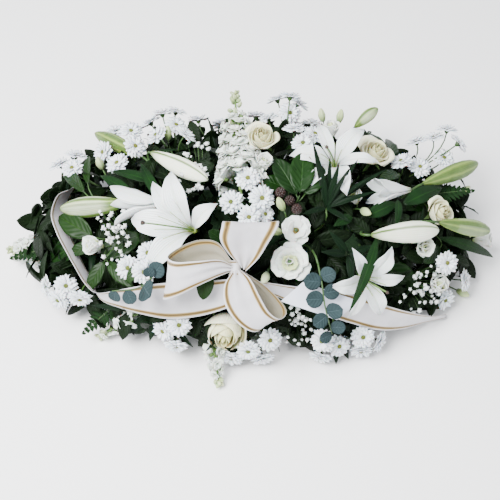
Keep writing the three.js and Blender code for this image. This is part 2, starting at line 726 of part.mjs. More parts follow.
// The spin that puts a petal at that angle in the view.
function viewSpin(face, angle) {
  const turn = new THREE.Quaternion().setFromUnitVectors(V(0, 0, 1), face);
  const x = V(1, 0, 0).applyQuaternion(turn);
  const y = V(0, 1, 0).applyQuaternion(turn);
  const a = THREE.MathUtils.degToRad(angle);
  const want = V(0, 0, 0).addScaledVector(right, Math.cos(a)).addScaledVector(up, Math.sin(a));
  return Math.atan2(want.dot(y), want.dot(x));
}
const lilies = {
  lily_front: { at: [181, 227, 20], face: [-0.4, 0.1, 0.9], size: 1, broad: [35, 98, 163, 228],
    narrow: [128] },
  lily_back: { at: [334, 156, 14], face: [-0.1, 0.45, 0.9], size: 0.8, broad: [50, 172, 285],
    narrow: [110, 235, 350] },
  lily_right: { at: [370, 283, 22], face: [0.35, -0.3, 0.85], size: 0.72, broad: [58, 178, 298],
    narrow: [122, 245, 0] },
};
const gap = 0.6; // between a bloom that is a piece of its own and its stem's end
const bloomEnds = {};
for (const [name, { at, face, size, broad, narrow }] of Object.entries(lilies)) {
  const petals = bunch(name + '_petals', white);
  const direction = facing(face);
  const place = seat(at);
  const petalAt = (angle, wide, lower) => petal({
    rib: scaled(lilyRib, size, wide).map(([r, z, half]) => [r, z - lower, half]),
    angle: viewSpin(direction, angle),
    thick: 1.5,
    edgeUp: 0.12,
  });
  for (const a of broad) fix(petals, stood(petalAt(a, 1, 0), place, direction), 'petal ' + a);
  for (const a of narrow) fix(petals, stood(petalAt(a, 0.66, 2), place, direction), 'petal ' + a);
  const throat = spindle({ length: 15 * size, radius: 7 * size, sides: 5, rings: 1 });
  fix(petals, stood(throat, place.clone().addScaledVector(direction, -49 * size), direction), 'throat');
  bloomEnds[name] = { end: place.clone().addScaledVector(direction, -49 * size - gap), arrive: direction,
    place, direction };
}
// The style of the open lily, in its throat.
const lilyHeart = bunches.find((b) => b.name === 'lily_front_petals');
const heart = { reach: 14, tip: 7, fat: 2.6 };
const { place: heartPlace, direction: heartWay } = bloomEnds.lily_front;
const styleLine = [-40, heart.reach].map((z) => heartPlace.clone().addScaledVector(heartWay, z));
fix(lilyHeart, tube(styleLine, 0.9, { sides: 3, taper: 0.9, bead: [heart.tip, heart.fat] }), 'style');

const trumpets = {
  lily_half_left: { from: [163, 203, 4], to: [116, 200, 6], reach: 76 },
  lily_half_right: { from: [410, 190, 0], to: [362, 190, 6], reach: 70 },
};
for (const [name, { from, to, reach }] of Object.entries(trumpets)) {
  const petals = bunch(name + '_petals', white);
  const start = seat(from);
  const direction = seat(to).sub(start).normalize();
  const wall = [[0, 0], [9, 0.14 * reach], [15, 0.5 * reach], [27, reach], [20, 0.9 * reach],
    [11, 0.5 * reach]];
  const bell = cup({ wall, floor: 0.35 * reach, lobes: 6, rim: 2, notch: 0.3, dip: 0.22 * reach });
  fix(petals, stood(bell, start, direction), 'bell');
  bloomEnds[name] = { end: start.clone().addScaledVector(direction, -gap), arrive: direction };
}

// Roses: two rings of petals round a bud.
const roses = {
  rose_1: { at: [226, 333, 4], face: [-0.05, -0.45, 0.9] },
  rose_2: { at: [262, 137, 4], face: [0, 0.5, 0.85] },
  rose_3: { at: [376, 152, 4], face: [0.25, 0.55, 0.8] },
  rose_4: { at: [441, 212, 4], face: [0.55, 0.15, 0.8] },
};
const rosePieces = [
  cup({ wall: [[0, -23], [15, -15], [23, -2], [28, 10], [18, 6]], floor: -4, lobes: 5, rim: 2 }),
  cup({ wall: [[0, -12], [11, -6], [15, 6], [16, 16], [10, 12]], floor: 6, lobes: 3, rim: 2, notch: 0.25,
    dip: 3 }),
  (grow) => spindle({ length: 30, radius: 6, swell: 0.5, sides: 5, rings: 2 })(grow).translate(0, 0, -12),
];
for (const [name, { at, face }] of Object.entries(roses)) {
  const rose = bunch(name, cream);
  const direction = facing(face);
  const set = slideIn(rose, rosePieces, at, direction, 'bloom');
  if (set) carry(rose, set.place.addScaledVector(direction, -21), direction, set);
}

// Lisianthus: open and half-shut blooms of five petals, and buds.
const openBloom = [cup({ wall: [[0, -20], [6, -14], [22, -3], [32, 4], [16, -3]], floor: -8, lobes: 5,
  rim: 2,
  notch: 0.22, dip: 3 })];
const shutBloom = [cup({ wall: [[0, -24], [8, -16], [15, 0], [19, 17], [12, 8]], floor: -2, lobes: 5,
  rim: 2,
  dip: 5 })];
const budOf = (length, radius) => [
  (grow) => spindle({ length, radius, swell: 0.45, sides: 5, rings: 2 })(grow).translate(0, 0, -length / 2),
];
const lisianthus = {
  lisianthus_1: [['open', 290, 262, 4, [0, -0.1, 1]], ['bud', 265, 278, 0, [-0.3, -0.6, 0.7]]],
  lisianthus_2: [['open', 296, 230, -6, [0.1, 0.2, 1]], ['bud', 281, 204, 2, [-0.4, 0.8, 0.4]],
    ['bud', 276, 231, 6, [-0.8, 0.2, 0.6]]],
  lisianthus_3: [['shut', 264, 163, 0, [0.1, 0.5, 0.85]], ['bud', 168, 133, 2, [0, 0.9, 0.3]]],
  lisianthus_4: [['shut', 93, 245, 4, [-0.75, 0.1, 0.65]], ['bud', 100, 163, 2, [-0.3, 0.8, 0.5]]],
  lisianthus_5: [['open', 352, 198, -6, [-0.1, 0.3, 0.95]], ['bud', 366, 212, 4, [0.5, -0.3, 0.8]]],
  lisianthus_6: [['open', 438, 285, 0, [0.6, -0.2, 0.75]], ['bud', 463, 293, 2, [0.8, -0.4, 0.5]],
    ['shut', 424, 247, -4, [0.2, 0, 1]]],
  lisianthus_7: [['shut', 484, 240, 2, [0.9, 0, 0.45]], ['bud', 465, 236, 2, [0.7, 0, 0.7]],
    ['bud', 465, 191, 4, [0.6, 0.6, 0.4]]],
  lisianthus_8: [['shut', 331, 129, 2, [0, 0.85, 0.5]], ['bud', 322, 115, 4, [-0.2, 0.95, 0.2]],
    ['bud', 340, 116, 4, [0.2, 0.95, 0.2]]],
};
const blooms = { open: openBloom, shut: shutBloom, bud: budOf(24, 6.5) };
const rootDepth = { open: 17, shut: 21, bud: 12 };
for (const [name, heads] of Object.entries(lisianthus)) {
  const owner = bunch(name, cream);
  for (const [kind, u, v, lift, face] of heads) {
    const direction = facing(face);
    const set = slideIn(owner, blooms[kind], [u, v, lift], direction, kind);
    if (!set) continue;
    const end = set.place.addScaledVector(direction, -rootDepth[kind]);
    const build = kind === 'bud' ? (path) => tube(path, 1.2, { bead: [24, 6.5] }) : null;
    carry(owner, end, direction, { ...set, build });
  }
}

// Chrysanthemum sprays: each head is [across, down, lift, face, size].
const chrysanthemums = {
  chrysanthemum_centre: [[248, 178, 4, [-0.05, 0.25, 1]], [262, 198, 6, [0.15, 0.05, 1], 1.05],
    [231, 202, 2, [-0.2, 0.1, 1]], [249, 217, 4, [0, -0.1, 1], 0.95], [265, 214, 0, [0.5, 0, 0.8], 0.85]],
  chrysanthemum_far_left: [[59, 164, 4, [-0.4, 0.85, 0.3]], [76, 155, 4, [0.2, 0.95, 0.2]],
    [72, 168, 2, [-0.2, 0.5, 0.8]]],
  chrysanthemum_left_back: [[115, 131, 4, [-0.2, 0.8, 0.5]], [131, 131, 0, [0.2, 0.5, 0.85]],
    [103, 152, 2, [-0.6, 0.1, 0.8]], [135, 146, 4, [0.5, 0.2, 0.8]], [117, 163, 0, [-0.3, 0.5, 0.8]]],
  chrysanthemum_back: [[150, 122, 4, [-0.5, 0.85, 0.1]], [162, 113, 6, [-0.2, 0.95, 0.1]],
    [176, 111, 4, [0.2, 0.95, 0.2]], [176, 125, 0, [0.3, 0.6, 0.7]], [156, 135, 2, [-0.5, 0.6, 0.6]],
    [186, 134, 4, [0.6, 0.7, 0.3]]],
  chrysanthemum_top: [[277, 99, 4, [-0.3, 0.95, 0.1]], [290, 96, 6, [0.1, 0.98, 0.1]],
    [299, 103, 2, [0.6, 0.75, 0.2]],
    [290, 113, 0, [0.2, 0.2, 0.9]], [268, 118, 0, [-0.3, 0.9, 0.2]], [294, 128, 2, [0, 0.9, 0.3]],
    [303, 143, 4, [0, 0.5, 0.85]], [315, 134, 0, [0.3, 0.7, 0.6], 1.05]],
  chrysanthemum_right_back: [[416, 141, 2, [-0.3, 0.9, 0.2]], [433, 137, 4, [-0.2, 0.9, 0.3]],
    [447, 129, 6, [0.1, 0.95, 0.2]], [459, 143, 4, [0.8, 0.6, 0.1]], [401, 161, 2, [-0.3, 0.8, 0.5]],
    [420, 167, 4, [0.1, 0.5, 0.85]], [444, 158, 2, [0.2, 0.5, 0.8]]],
  chrysanthemum_left_front: [[46, 287, 4, [-0.9, -0.1, 0.4]], [58, 300, 2, [-0.4, -0.6, 0.7]],
    [66, 286, 6, [0.1, 0.1, 0.9]], [80, 299, 2, [0, -0.8, 0.6]]],
  chrysanthemum_front_left: [[179, 325, 4, [0.1, -0.1, 1]], [163, 331, 0, [-0.5, -0.4, 0.7]],
    [176, 346, 2, [-0.1, -0.9, 0.4]]],
  chrysanthemum_front: [[270, 340, 4, [0.2, -0.3, 0.95]], [248, 351, 2, [0, -0.6, 0.8]],
    [263, 359, 0, [0.2, -0.9, 0.4]], [231, 358, -4, [-0.3, -0.8, 0.5]]],
  chrysanthemum_front_right: [[322, 341, 4, [-0.3, -0.2, 0.9]], [320, 357, 0, [-0.3, -0.9, 0.3]],
    [339, 346, 2, [0.3, -0.3, 0.9]], [363, 337, 4, [0.1, -0.2, 0.95]], [361, 351, 0, [0, -0.9, 0.4]],
    [380, 341, 2, [0.9, -0.4, 0.3]]],
  chrysanthemum_left: [[128, 268, 4, [-0.2, 0, 1]], [144, 272, 6, [0.1, -0.2, 1]],
    [148, 253, 2, [-0.3, 0.2, 0.9]]],
  chrysanthemum_right: [[447, 263, 4, [0.3, 0, 0.9]], [465, 280, 2, [0.9, 0, 0.4]],
    [445, 300, 0, [0.5, -0.5, 0.7]]],
  chrysanthemum_rear: [[78, 20], [88, 34], [98, 18], [70, 34], [106, 32]].map((back) => ({ back })),
};
const daisyRadius = 20;
const daisyPetals = 7;
for (const [name, heads] of Object.entries(chrysanthemums)) {
  const owner = bunch(name, white);
  for (const head of heads) {
    const direction = head.back ? outward(placeOf(head)) : facing(head[3]);
    const radius = daisyRadius * (head[4] || 1);
    const shape = star({ radius, petals: daisyPetals });
    const set = slideIn(owner, [shape], head, direction, 'head');
    if (!set) continue;
    const place = set.place.clone();
    const build = (path) => stalkedStar({ place, direction, path, radius, petals: daisyPetals });
    carry(owner, place.clone().addScaledVector(direction, -7), direction, { ...set, build });
  }
}

// Lily buds stand out from the lily stems.
const lilyStems = {
  lily_stem_left: { blooms: ['lily_front', 'lily_half_left'],
    buds: [[[143, 157, 0], [95, 133, 10], 11], [[150, 152, 6], [208, 180, 8], 12],
      [[126, 203, 4], [60, 209, 10], 12]] },
  lily_stem_right: { blooms: ['lily_right', 'lily_half_right'],
    buds: [[[378, 238, 4], [438, 230, 10], 13], [[440, 222, 0], [490, 231, 4], 11],
      [[424, 184, 2], [478, 163, 10], 12]] },
  lily_stem_back: { blooms: ['lily_back'], buds: [[[354, 128, 0], [378, 108, 6], 10]] },
};
for (const [name, { blooms: carried, buds }] of Object.entries(lilyStems)) {
  const owner = bunch(name, stemGreen);
  for (const bloom of carried) carry(owner, bloomEnds[bloom].end, bloomEnds[bloom].arrive, { radius: 1.8 });
  for (const [from, to, radius] of buds) {
    let placedBud = null;
    for (const slide of slides) {
      if (placedBud) continue;
      const root = seat([from[0], from[1], from[2] + slide]);
      const tip = seat([to[0], to[1], to[2] + slide]);
      const direction = tip.clone().sub(root).normalize();
      const shape = stood(spindle({ length: tip.distanceTo(root), radius, swell: 0.6, rings: 3,
        ribbed: 0.08 }), root, direction);
      if (!whatCrosses(owner, shape)) {
        placedBud = put(owner, shape);
        carry(owner, root.addScaledVector(direction, 5), direction, { radius: 1.8 });
      }
    }
    if (!placedBud) crossings.push(owner.name + ' bud ' + from + ' has no clear place');
  }
}

// Stock: florets crowd round a spike.
const stocks = {
  stock_top: { root: [241, 190, -14], tip: [235, 96, 12], florets: 10, spread: 17, from: 0.12, to: 0.75 },
  stock_left: { root: [56, 251, -80], tip: [10, 250, -20], florets: 8, spread: 13, from: 0.1, to: 0.8 },
  stock_front: { root: [213, 345, -10], tip: [219, 384, -8], florets: 5, spread: 13, from: 0, to: 0.8 },
  stock_front_left: { root: [140, 312, -16], tip: [100, 336, -6], florets: 6, spread: 14, from: 0,
    to: 0.85 },
};
for (const [name, { root, tip, florets, spread, from, to }] of Object.entries(stocks)) {
  const owner = bunch(name, white);
  const start = seat(root);
  const end = seat(tip);
  const along = end.clone().sub(start).normalize();
  const first = V(0.2, 0.1, 1).cross(along).normalize();
  const second = along.clone().cross(first);
  const axis = [0, 4, -4, 9, -9].map((sway) => tube([start, start.clone().lerp(end, 0.5)
    .addScaledVector(first, sway), end], 1.8, { taper: 0.6 }));
  if (!bendClear(owner, axis, { isStem: true })) crossings.push(name + ' spike has no clear place');
  for (let i = 0; i < florets; i += 1) {
    const t = from + (to - from) * i / (florets - 1);
    const turn = i * 2.4;
    const out = V(0, 0, 0).addScaledVector(first, Math.cos(turn)).addScaledVector(second, Math.sin(turn));
    const at = start.clone().lerp(end, t);
    const size = 11 * (1.1 - 0.45 * i / florets);
    const direction = out.clone().addScaledVector(along, 0.35).normalize();
    [spread, spread - 4, spread - 8].some((r) => {
      const shape = star({ radius: size, petals: 4, cup: 0.35, crown: 0.25, calyx: r / size });
      const stand = stood(shape, at.clone().addScaledVector(direction, r), direction);
      const clear = !whatCrosses(owner, stand);
      if (clear) put(owner, stand);
      return clear;
    });
  }
  carry(owner, start.clone().addScaledVector(along, 3), along);
}

// Leaves of the lily stems: root, tip and width.
const lilyLeaves = {
  lily_stem_left: [[[152, 182, -4], [112, 172, 2], 17], [[132, 194, -6], [101, 176, 0], 17],
    [[160, 200, -4], [141, 164, 0], 16],
    [[150, 196, -8], [164, 214, 0], 15], [[150, 158, -8], [175, 150, 0], 13]],
  lily_stem_right: [[[440, 238, -4], [492, 257, 4], 18], [[377, 238, -2], [347, 298, 24], 14],
    [[404, 204, -2], [441, 188, 4], 26],
    [[368, 216, -8], [397, 203, 0], 22], [[398, 200, 2], [396, 226, 10], 13],
      [[452, 172, -8], [466, 190, 0], 22],
    [[352, 216, -12], [334, 226, -6], 16]],
  lily_stem_back: [[[322, 140, -8], [300, 126, 0], 14], [[360, 132, -6], [388, 150, 0], 16]],
};
const leafLook = { droop: 0.12, fold: 0.2, shape: [0.9, 0.8], face: null };
function addLeaf(owner, [from, to, width], look = {}) {
  const { droop, fold, shape, face } = { ...leafLook, ...look };
  const root = placeOf(from);
  const tip = placeOf(to);
  const along = tip.clone().sub(root);
  const length = along.length();
  along.normalize();
  const middle = root.clone().add(tip).multiplyScalar(0.5);
  const spec = { root, along, length, width, droop, fold, shape, face: face || outward(middle) };
  const piece = leafFrom(owner, spec);
  if (!piece) return;
  const own = { ...spec, along: piece.make.along, length: piece.make.reach };
  carry(owner, root, own.along, { pieces: [piece], build: (path) => leaf({ ...own, path }), spare: true });
}
for (const [name, leaves] of Object.entries(lilyLeaves)) {
  const owner = bunches.find((b) => b.name === name);
  leaves.forEach((spec) => addLeaf(owner, spec));
}
for (const owner of bunches) if (owner.ends) growStem(owner);

// A fan of leaves from the end of one stem.
function growFan(owner, from, leaves, shape) {
  const root = seat(from);
  const reached = leaves.reduce((sum, [to]) => sum.add(seat(to)), V(0, 0, 0));
  const heading = reached.divideScalar(leaves.length).sub(root).normalize();
  const stem = stemTo(owner, root, outward(root), 2);
  if (!stem) crossings.push(owner.name + ' stem finds no way');
  owner.starts = stem ? startsAlong(stem.make.path) : [];
  const crown = spindle({ length: 12, radius: 3.4, swell: 0.5, sides: 5, rings: 2 });
  fix(owner, stood(crown, root.clone().addScaledVector(outward(root), -6), outward(root)), 'crown');
  for (const [to, width] of leaves) {
    const tip = seat(to);
    const along = tip.clone().sub(root);
    const length = along.length();
    along.normalize();
    const face = outward(tip).addScaledVector(heading, 0.01).normalize();
    leafFrom(owner, { root, along, length, width, droop: 0.1, fold: 0.2, shape, face });
  }
}

// Leafy stems.
const leafy = {
  salal_top: { paint: leafGreen, shape: [0.95, 0.85],
    leaves: [[[296, 194, -10], [275, 160, 2], 36], [[300, 192, -6], [303, 154, 4], 38],
    [[305, 194, -10], [322, 167, 2], 34], [[284, 188, -16], [262, 180, -8], 26],
    [[222, 240, -14], [209, 231, -2], 18]] },
  salal_left: { paint: leafGreen, shape: [0.95, 0.85],
    leaves: [[[92, 236, -6], [60, 217, 4], 34], [[104, 262, -6], [89, 290, 4], 22],
    [[108, 262, -8], [133, 286, 0], 22], [[94, 244, -14], [70, 254, -6], 20],
      [[84, 192, -10], [64, 168, 0], 20], [[88, 184, -8], [89, 157, 2], 14]] },
  salal_right: { paint: leafGreen, shape: [0.95, 0.85],
    leaves: [[[392, 158, -10], [388, 140, 2], 24], [[440, 248, -14], [424, 262, -4], 22],
    [[398, 174, -12], [380, 180, -2], 20], [[462, 206, -8], [478, 214, 0], 18]] },
  ruscus_right: { paint: palmGreen, shape: [1, 0.7], from: [348, 254, -12],
    leaves: [[[330, 232, 0], 12], [[372, 246, 0], 12],
    [[352, 286, 2], 12], [[369, 276, 0], 12], [[322, 252, -2], 12]] },
  ruscus_front: { paint: palmGreen, shape: [1, 0.7], from: [334, 326, -24],
    leaves: [[[336, 363, -6], 17], [[348, 358, -6], 17],
    [[310, 336, -6], 15], [[382, 326, -6], 14]] },
  ruscus_front_left: { paint: palmGreen, shape: [1, 0.7], from: [160, 306, -26],
    leaves: [[[124, 335, -6], 17], [[150, 340, -6], 15],
    [[192, 346, -6], 14], [[92, 305, -8], 14]] },
  areca_palm: { paint: palmGreen, shape: [1, 0.6], from: [326, 208, -14],
    leaves: [[[313, 143, 4], 10], [[321, 166, 6], 9],
    [[339, 164, 6], 10], [[357, 161, 6], 10], [[385, 170, 6], 9], [[374, 192, 4], 9], [[303, 214, 0], 9],
      [[350, 222, -2], 9]] },
};
for (const [name, { paint: colour, shape, from = null, leaves }] of Object.entries(leafy)) {
  const owner = bunch(name, colour);
  if (from) {
    growFan(owner, from, leaves, shape);
    continue;
  }
  leaves.forEach((spec) => addLeaf(owner, spec, { shape }));
  if (owner.ends) growStem(owner, { radius: 1.8, branch: 1 });
}

// Eucalyptus: round leaves along a hanging stem, over the sash.
const eucalyptus = {
  eucalyptus_left: { path: [[152, 262, -12], [152, 277, 20], [138, 288, 28], [112, 291, 27]],
    leaves: [[115, 294, 26, 20], [129, 297, 28, 22], [144, 287, 30, 34], [148, 271, 30, 18],
      [160, 266, 30, 26]] },
  eucalyptus_right: { path: [[318, 264, 8], [322, 284, 24], [325, 306, 26], [332, 334, 16]],
    leaves: [[312, 282, 26, 26], [326, 276, 26, 24], [334, 292, 28, 24], [316, 300, 30, 26],
      [331, 312, 30, 26], [320, 322, 28, 24],
      [338, 328, 24, 22], [326, 338, 20, 20]] },
};
for (const [name, { path, leaves }] of Object.entries(eucalyptus)) {
  const owner = bunch(name, silverGreen);
  const ways = [0, 4, 8, 12, -4].flatMap((raise) => [0, -6, 6, -12, 12, -18, 18, -24].map((shift) => {
    const moved = ([u, v, lift], i) => [u + (i < 2 ? shift : 0), v, lift + (i ? raise : 0)];
    const points = path.map((p, i) => seat(moved(p, i)));
    return Object.assign(tube(points, 1.4, { sides: 3, taper: 0.7 }), { points });
  }));
  const stem = bendClear(owner, ways, { isStem: true });
  if (!stem) {
    crossings.push(name + ' stem has no clear place');
    continue;
  }
  const line = new THREE.CatmullRomCurve3(stem.make.points, false, 'catmullrom', 0);
  for (const [u, v, lift, size] of leaves) {
    const middle = seat([u, v, lift]);
    const starts = line.getPoints(24);
    const root = starts.reduce((best, p) => (p.distanceTo(middle) < best.distanceTo(middle) ? p : best));
    const along = middle.clone().sub(root).addScaledVector(up, 1).normalize();
    const spec = { root: root.clone().addScaledVector(along, -1), along, length: size * 1.05, width: size,
      droop: 0.05, fold: 0.08,
      shape: [0.92, 0.85], face: outward(middle) };
    leafFrom(owner, spec);
  }
  const [first, second] = stem.make.points;
  carry(owner, first.clone().lerp(second, 0.12), second.clone().sub(first).normalize());
  growStem(owner, { radius: 1.8 });
}

// Leatherleaf fronds: bearing and height of the tip, reach beyond the dome and width.
const fronds = {
  fern_left: [186, 6, 22, 52], fern_front: [240, 4, 14, 50], fern_right: [9, 30, 30, 56],
  fern_rear: [58, 10, 30, 56],
};
for (const [name, [bearing, height, reach, width]] of Object.entries(fronds)) {
  const owner = bunch(name, fernGreen);
  const ways = [];
  for (const wide of [1, 0.85, 0.7]) {
    for (const turn of [0, 4, -4, 8, -8, 12, -12]) {
      for (const lift of [0, 5, 10, -4]) {
        const tip = onDome([bearing + turn, height + lift, reach]);
        const root = V(tip.x * 0.66, tip.y * 0.6, Math.max(62, tip.z * 0.62 + 30));
        const face = outward(tip).add(V(0, 0, 0.9)).normalize();
        const make = frond({ root, tip, face, width: width * wide, leaflets: 8 });
        ways.push(Object.assign(make, { root, along: tip.clone().sub(root).normalize() }));
      }
    }
  }
  const made = bendClear(owner, ways);
  if (!made) {
    crossings.push(name + ' has no clear place');
    continue;
  }
  carry(owner, made.make.rib(0.1), made.make.along);
  growStem(owner, { radius: 1.8 });
}

// Gypsophila: small round heads on fine branches, over [across, down] centres.
const gypsophila = {
  gypsophila_left: { middle: [113, 232, 6], span: [20, 24], heads: 9 },
  gypsophila_top: { middle: [196, 168, 4], span: [15, 26], heads: 9 },
  gypsophila_front: { middle: [298, 320, -2], span: [13, 20], heads: 8 },
  gypsophila_right: { middle: [424, 290, 2], span: [24, 22], heads: 10 },
};
for (const [name, { middle, span, heads }] of Object.entries(gypsophila)) {
  const owner = bunch(name, white);
  for (let i = 0; i < heads; i += 1) {
    const turn = i * 2.4;
    const r = Math.sqrt((i + 0.5) / heads);
    const at = [middle[0] + span[0] * r * Math.cos(turn), middle[1] + span[1] * r * Math.sin(turn),
      middle[2] + random(-4, 6)];
    const place = seat(at);
    const direction = outward(place);
    const size = random(6, 8);
    const ways = [0, 6, -6, 12, -12].map((slide) => {
      const stand = seat([at[0], at[1], at[2] + slide]);
      const shape = spindle({ length: size, radius: size / 2, swell: 0.5, sides: 4, rings: 1 });
      return Object.assign(stood(shape, stand, direction), { stand });
    });
    const piece = bendClear(owner, ways, { avoid: owner.pieces });
    if (!piece) continue;
    piece.isHead = true;
    const build = (path) => tube(path, 0.7, { sides: 3, taper: 1, bead: [size, size / 2] });
    carry(owner, piece.make.stand, direction, { pieces: [piece], build, spare: true });
  }
  growStem(owner, { radius: 1.5, branch: 0.8, share: 0.6 });
}

// Berries.
const berries = bunch('berries', berryBrown);
for (const at of [[280, 195, 0], [296, 211, 0], [289, 203, -8]]) {
  const direction = outward(seat(at));
  const stand = stood(spindle({ length: 16, radius: 8, swell: 0.5, sides: 5, rings: 2 }), seat(at),
    direction);
  const piece = fix(berries, stand, 'berry');
  const build = (path) => tube(path, 1.1, { sides: 5, bead: [16, 8] });
  carry(berries, seat(at), direction, { pieces: [piece], build });
}
growStem(berries, { radius: 1.6 });

// Leaves low in the mass, in rings round the dome: each on a branch from the nearest leafy stem.
const undergrowth = { lift: -12, lean: 16, depth: 44, length: 70, width: 38, shape: [0.95, 0.8] };
const leafRings = [
  { height: 5, count: 15 },
  { height: 19, count: 9 },
  { height: 38, count: 5 },
];
const leafyStems = bunches.filter((b) => b.starts && b.starts.length
  && [stemGreen, leafGreen, palmGreen, fernGreen].includes(b.material));
function addUndergrowth(bearing, height) {
  const tip = onDome([bearing, height, undergrowth.lift]);
  const along = tip.clone()
    .sub(onDome([bearing + random(-7, 7), height + undergrowth.lean, -undergrowth.depth])).normalize();
  const root = tip.clone().addScaledVector(along, -undergrowth.length);
  const spec = { root, along, length: undergrowth.length, width: undergrowth.width, fold: 0.2,
    shape: undergrowth.shape,
    face: outward(tip) };
  const nearest = [...leafyStems].sort((a,
    b) => a.starts[0].distanceTo(root) - b.starts[0].distanceTo(root));
  for (const owner of nearest.slice(0, 3)) {
    const piece = leafFrom(owner, spec);
    if (!piece) continue;
    const own = { ...spec, along: piece.make.along, length: piece.make.reach };
    takeAway(piece);
    const build = (path) => leaf({ ...own, path });
    if (branchTo(owner, owner.starts, root, own.along, [], build)) return;
  }
}
for (const { height, count } of leafRings) {
  for (let i = 0; i < count; i += 1) addUndergrowth(360 * (i + random(-0.25, 0.25)) / count, height);
}

// Each bunch becomes one body, and the foam is pierced by the stems that stand in it.
const holes = placed.filter((p) => p.owner !== foamNode && p.owner !== trayNode)
  .filter((p) => p.box.intersectsBox(new THREE.Box3().setFromPoints([
    V(-foam.long / 2 - 1, -foam.wide / 2 - 1, foam.bottom),
      V(foam.long / 2 + 1, foam.wide / 2 + 1, foam.top + 1)])))
  .map((p) => toSolid(p.make(clearance)));
const joined = (solids) => wasm.Manifold.union(solids);
const largest = (solid) => solid.decompose()
  .reduce((best, body) => (body.volume() > best.volume() ? body : best));
foamNode.solid = largest(toSolid(foamBlock).subtract(joined(holes)));
for (const owner of bunches) if (!owner.solid) owner.solid = joined(owner.pieces.map((p) => p.solid));

if (crossings.length) throw new Error(crossings.join('; '));

const group = new THREE.Group();
for (const { name, material, solid } of bunches) {
  const { vertProperties, triVerts } = solid.getMesh();
  const geometry = new THREE.BufferGeometry();
  geometry.setAttribute('position', new THREE.BufferAttribute(new Float32Array(vertProperties), 3));
  geometry.setIndex(Array.from(triVerts));
  const mesh = new THREE.Mesh(geometry, material.clone());
  mesh.name = name;
  group.add(mesh);
}

export default group;
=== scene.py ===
# A funeral cushion: lilies, roses, lisianthus, chrysanthemums, stock and gypsophila with foliage, in a
# tray of wet foam, dressed with a satin bow, a sash and a bare card. Metres, +Z up, the front faces -Y.
import math
import bpy
import numpy as np
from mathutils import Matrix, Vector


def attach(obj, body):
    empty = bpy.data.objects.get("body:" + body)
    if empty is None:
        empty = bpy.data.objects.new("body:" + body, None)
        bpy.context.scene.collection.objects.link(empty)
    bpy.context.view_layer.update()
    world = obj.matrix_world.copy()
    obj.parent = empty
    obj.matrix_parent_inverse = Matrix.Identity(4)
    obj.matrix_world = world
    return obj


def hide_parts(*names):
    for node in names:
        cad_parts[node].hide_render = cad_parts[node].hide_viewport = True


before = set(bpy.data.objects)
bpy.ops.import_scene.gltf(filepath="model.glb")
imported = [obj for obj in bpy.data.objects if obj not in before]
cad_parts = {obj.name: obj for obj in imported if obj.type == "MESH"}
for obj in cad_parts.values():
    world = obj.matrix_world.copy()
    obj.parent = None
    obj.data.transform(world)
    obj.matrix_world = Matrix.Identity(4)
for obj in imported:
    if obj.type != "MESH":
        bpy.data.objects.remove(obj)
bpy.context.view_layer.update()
draw = np.random.default_rng(11)
anyAngle, goldenAngle, spiral = 6.28, 2.39996, 2.4  # radians
print("frame loaded")

view = {"elevation": 55.0, "distance": 1.7, "pixel": 0.00166, "middle": 250.0}
dome = {"semi": np.array([0.370, 0.225, 0.195]), "base": 0.015, "lowest": 0.009}
tilt = math.radians(view["elevation"])
rightward = np.array([1.0, 0.0, 0.0])
upward = np.array([0.0, math.sin(tilt), math.cos(tilt)])
toward = np.array([0.0, -math.cos(tilt), math.sin(tilt)])
eye = toward * view["distance"]


def unit(a):  # each vector over its own length
    return a / np.maximum(np.linalg.norm(a, axis=-1, keepdims=True), 1e-12)


# Where the ray from the eye through (u, v) meets the dome grown by so many millimetres. Off the dome it is
# the ray's nearest point, and a point below the lowest height slides along its ray up to that height.
def seat(places):
    p = np.asarray(places, float).reshape(-1, 3)
    ray = (p[:, :1] - view["middle"]) * view["pixel"] * rightward
    ray = ray + (view["middle"] - p[:, 1:2]) * view["pixel"] * upward - eye
    semi = dome["semi"] + p[:, 2:] / 1000
    start = (eye - [0, 0, dome["base"]]) / semi
    step = ray / semi
    a, b, c = (step**2).sum(1), 2 * (start * step).sum(1), (start**2).sum(1) - 1
    s = (-b - np.sqrt(np.maximum(b * b - 4 * a * c, 0))) / (2 * a)
    s = np.where(eye[2] + ray[:, 2] * s < dome["lowest"], (dome["lowest"] - eye[2]) / ray[:, 2], s)
    return eye + ray * s[:, None]


# A point of the dome by bearing from +X and height angle in degrees, grown by so many millimetres.
def onDome(places):
    p = np.asarray(places, float).reshape(-1, 3)
    a, h = np.radians(p[:, 0]), np.radians(p[:, 1])
    way = np.stack([np.cos(h) * np.cos(a), np.cos(h) * np.sin(a), np.sin(h)], 1)
    return way * (dome["semi"] + p[:, 2:] / 1000) + [0, 0, dome["base"]]


def outward(p):  # the dome's normal: each coordinate over the square of its half size
    return unit((p - [0, 0, dome["base"]]) / dome["semi"] ** 2)


def facing(ways):  # a direction given by its parts to the right, up and towards the eye
    w = np.asarray(ways, float).reshape(-1, 3)
    return unit(w[:, :1] * rightward + w[:, 1:2] * upward + w[:, 2:] * toward)


def crosswise(directions):  # two unit vectors across each direction, turning anticlockwise round it
    x = unit(np.cross(np.broadcast_to([0.31, 0.83, 0.46], directions.shape), directions))
    return x, np.cross(directions, x)


def spread(value, n):  # one number, or n of them, as an array of n
    return np.broadcast_to(np.asarray(value, float), (n,))


# Half width from root to tip: the sine of pi s, s bent so that it peaks where it should, to a blunt power.
def outline(s, peak, blunt, root):
    bulge = np.sin(np.pi * s ** (math.log(0.5) / math.log(peak)))
    return np.maximum(np.maximum(bulge, 0) ** blunt, np.maximum(root * (1 - 2 * s), 0.035))


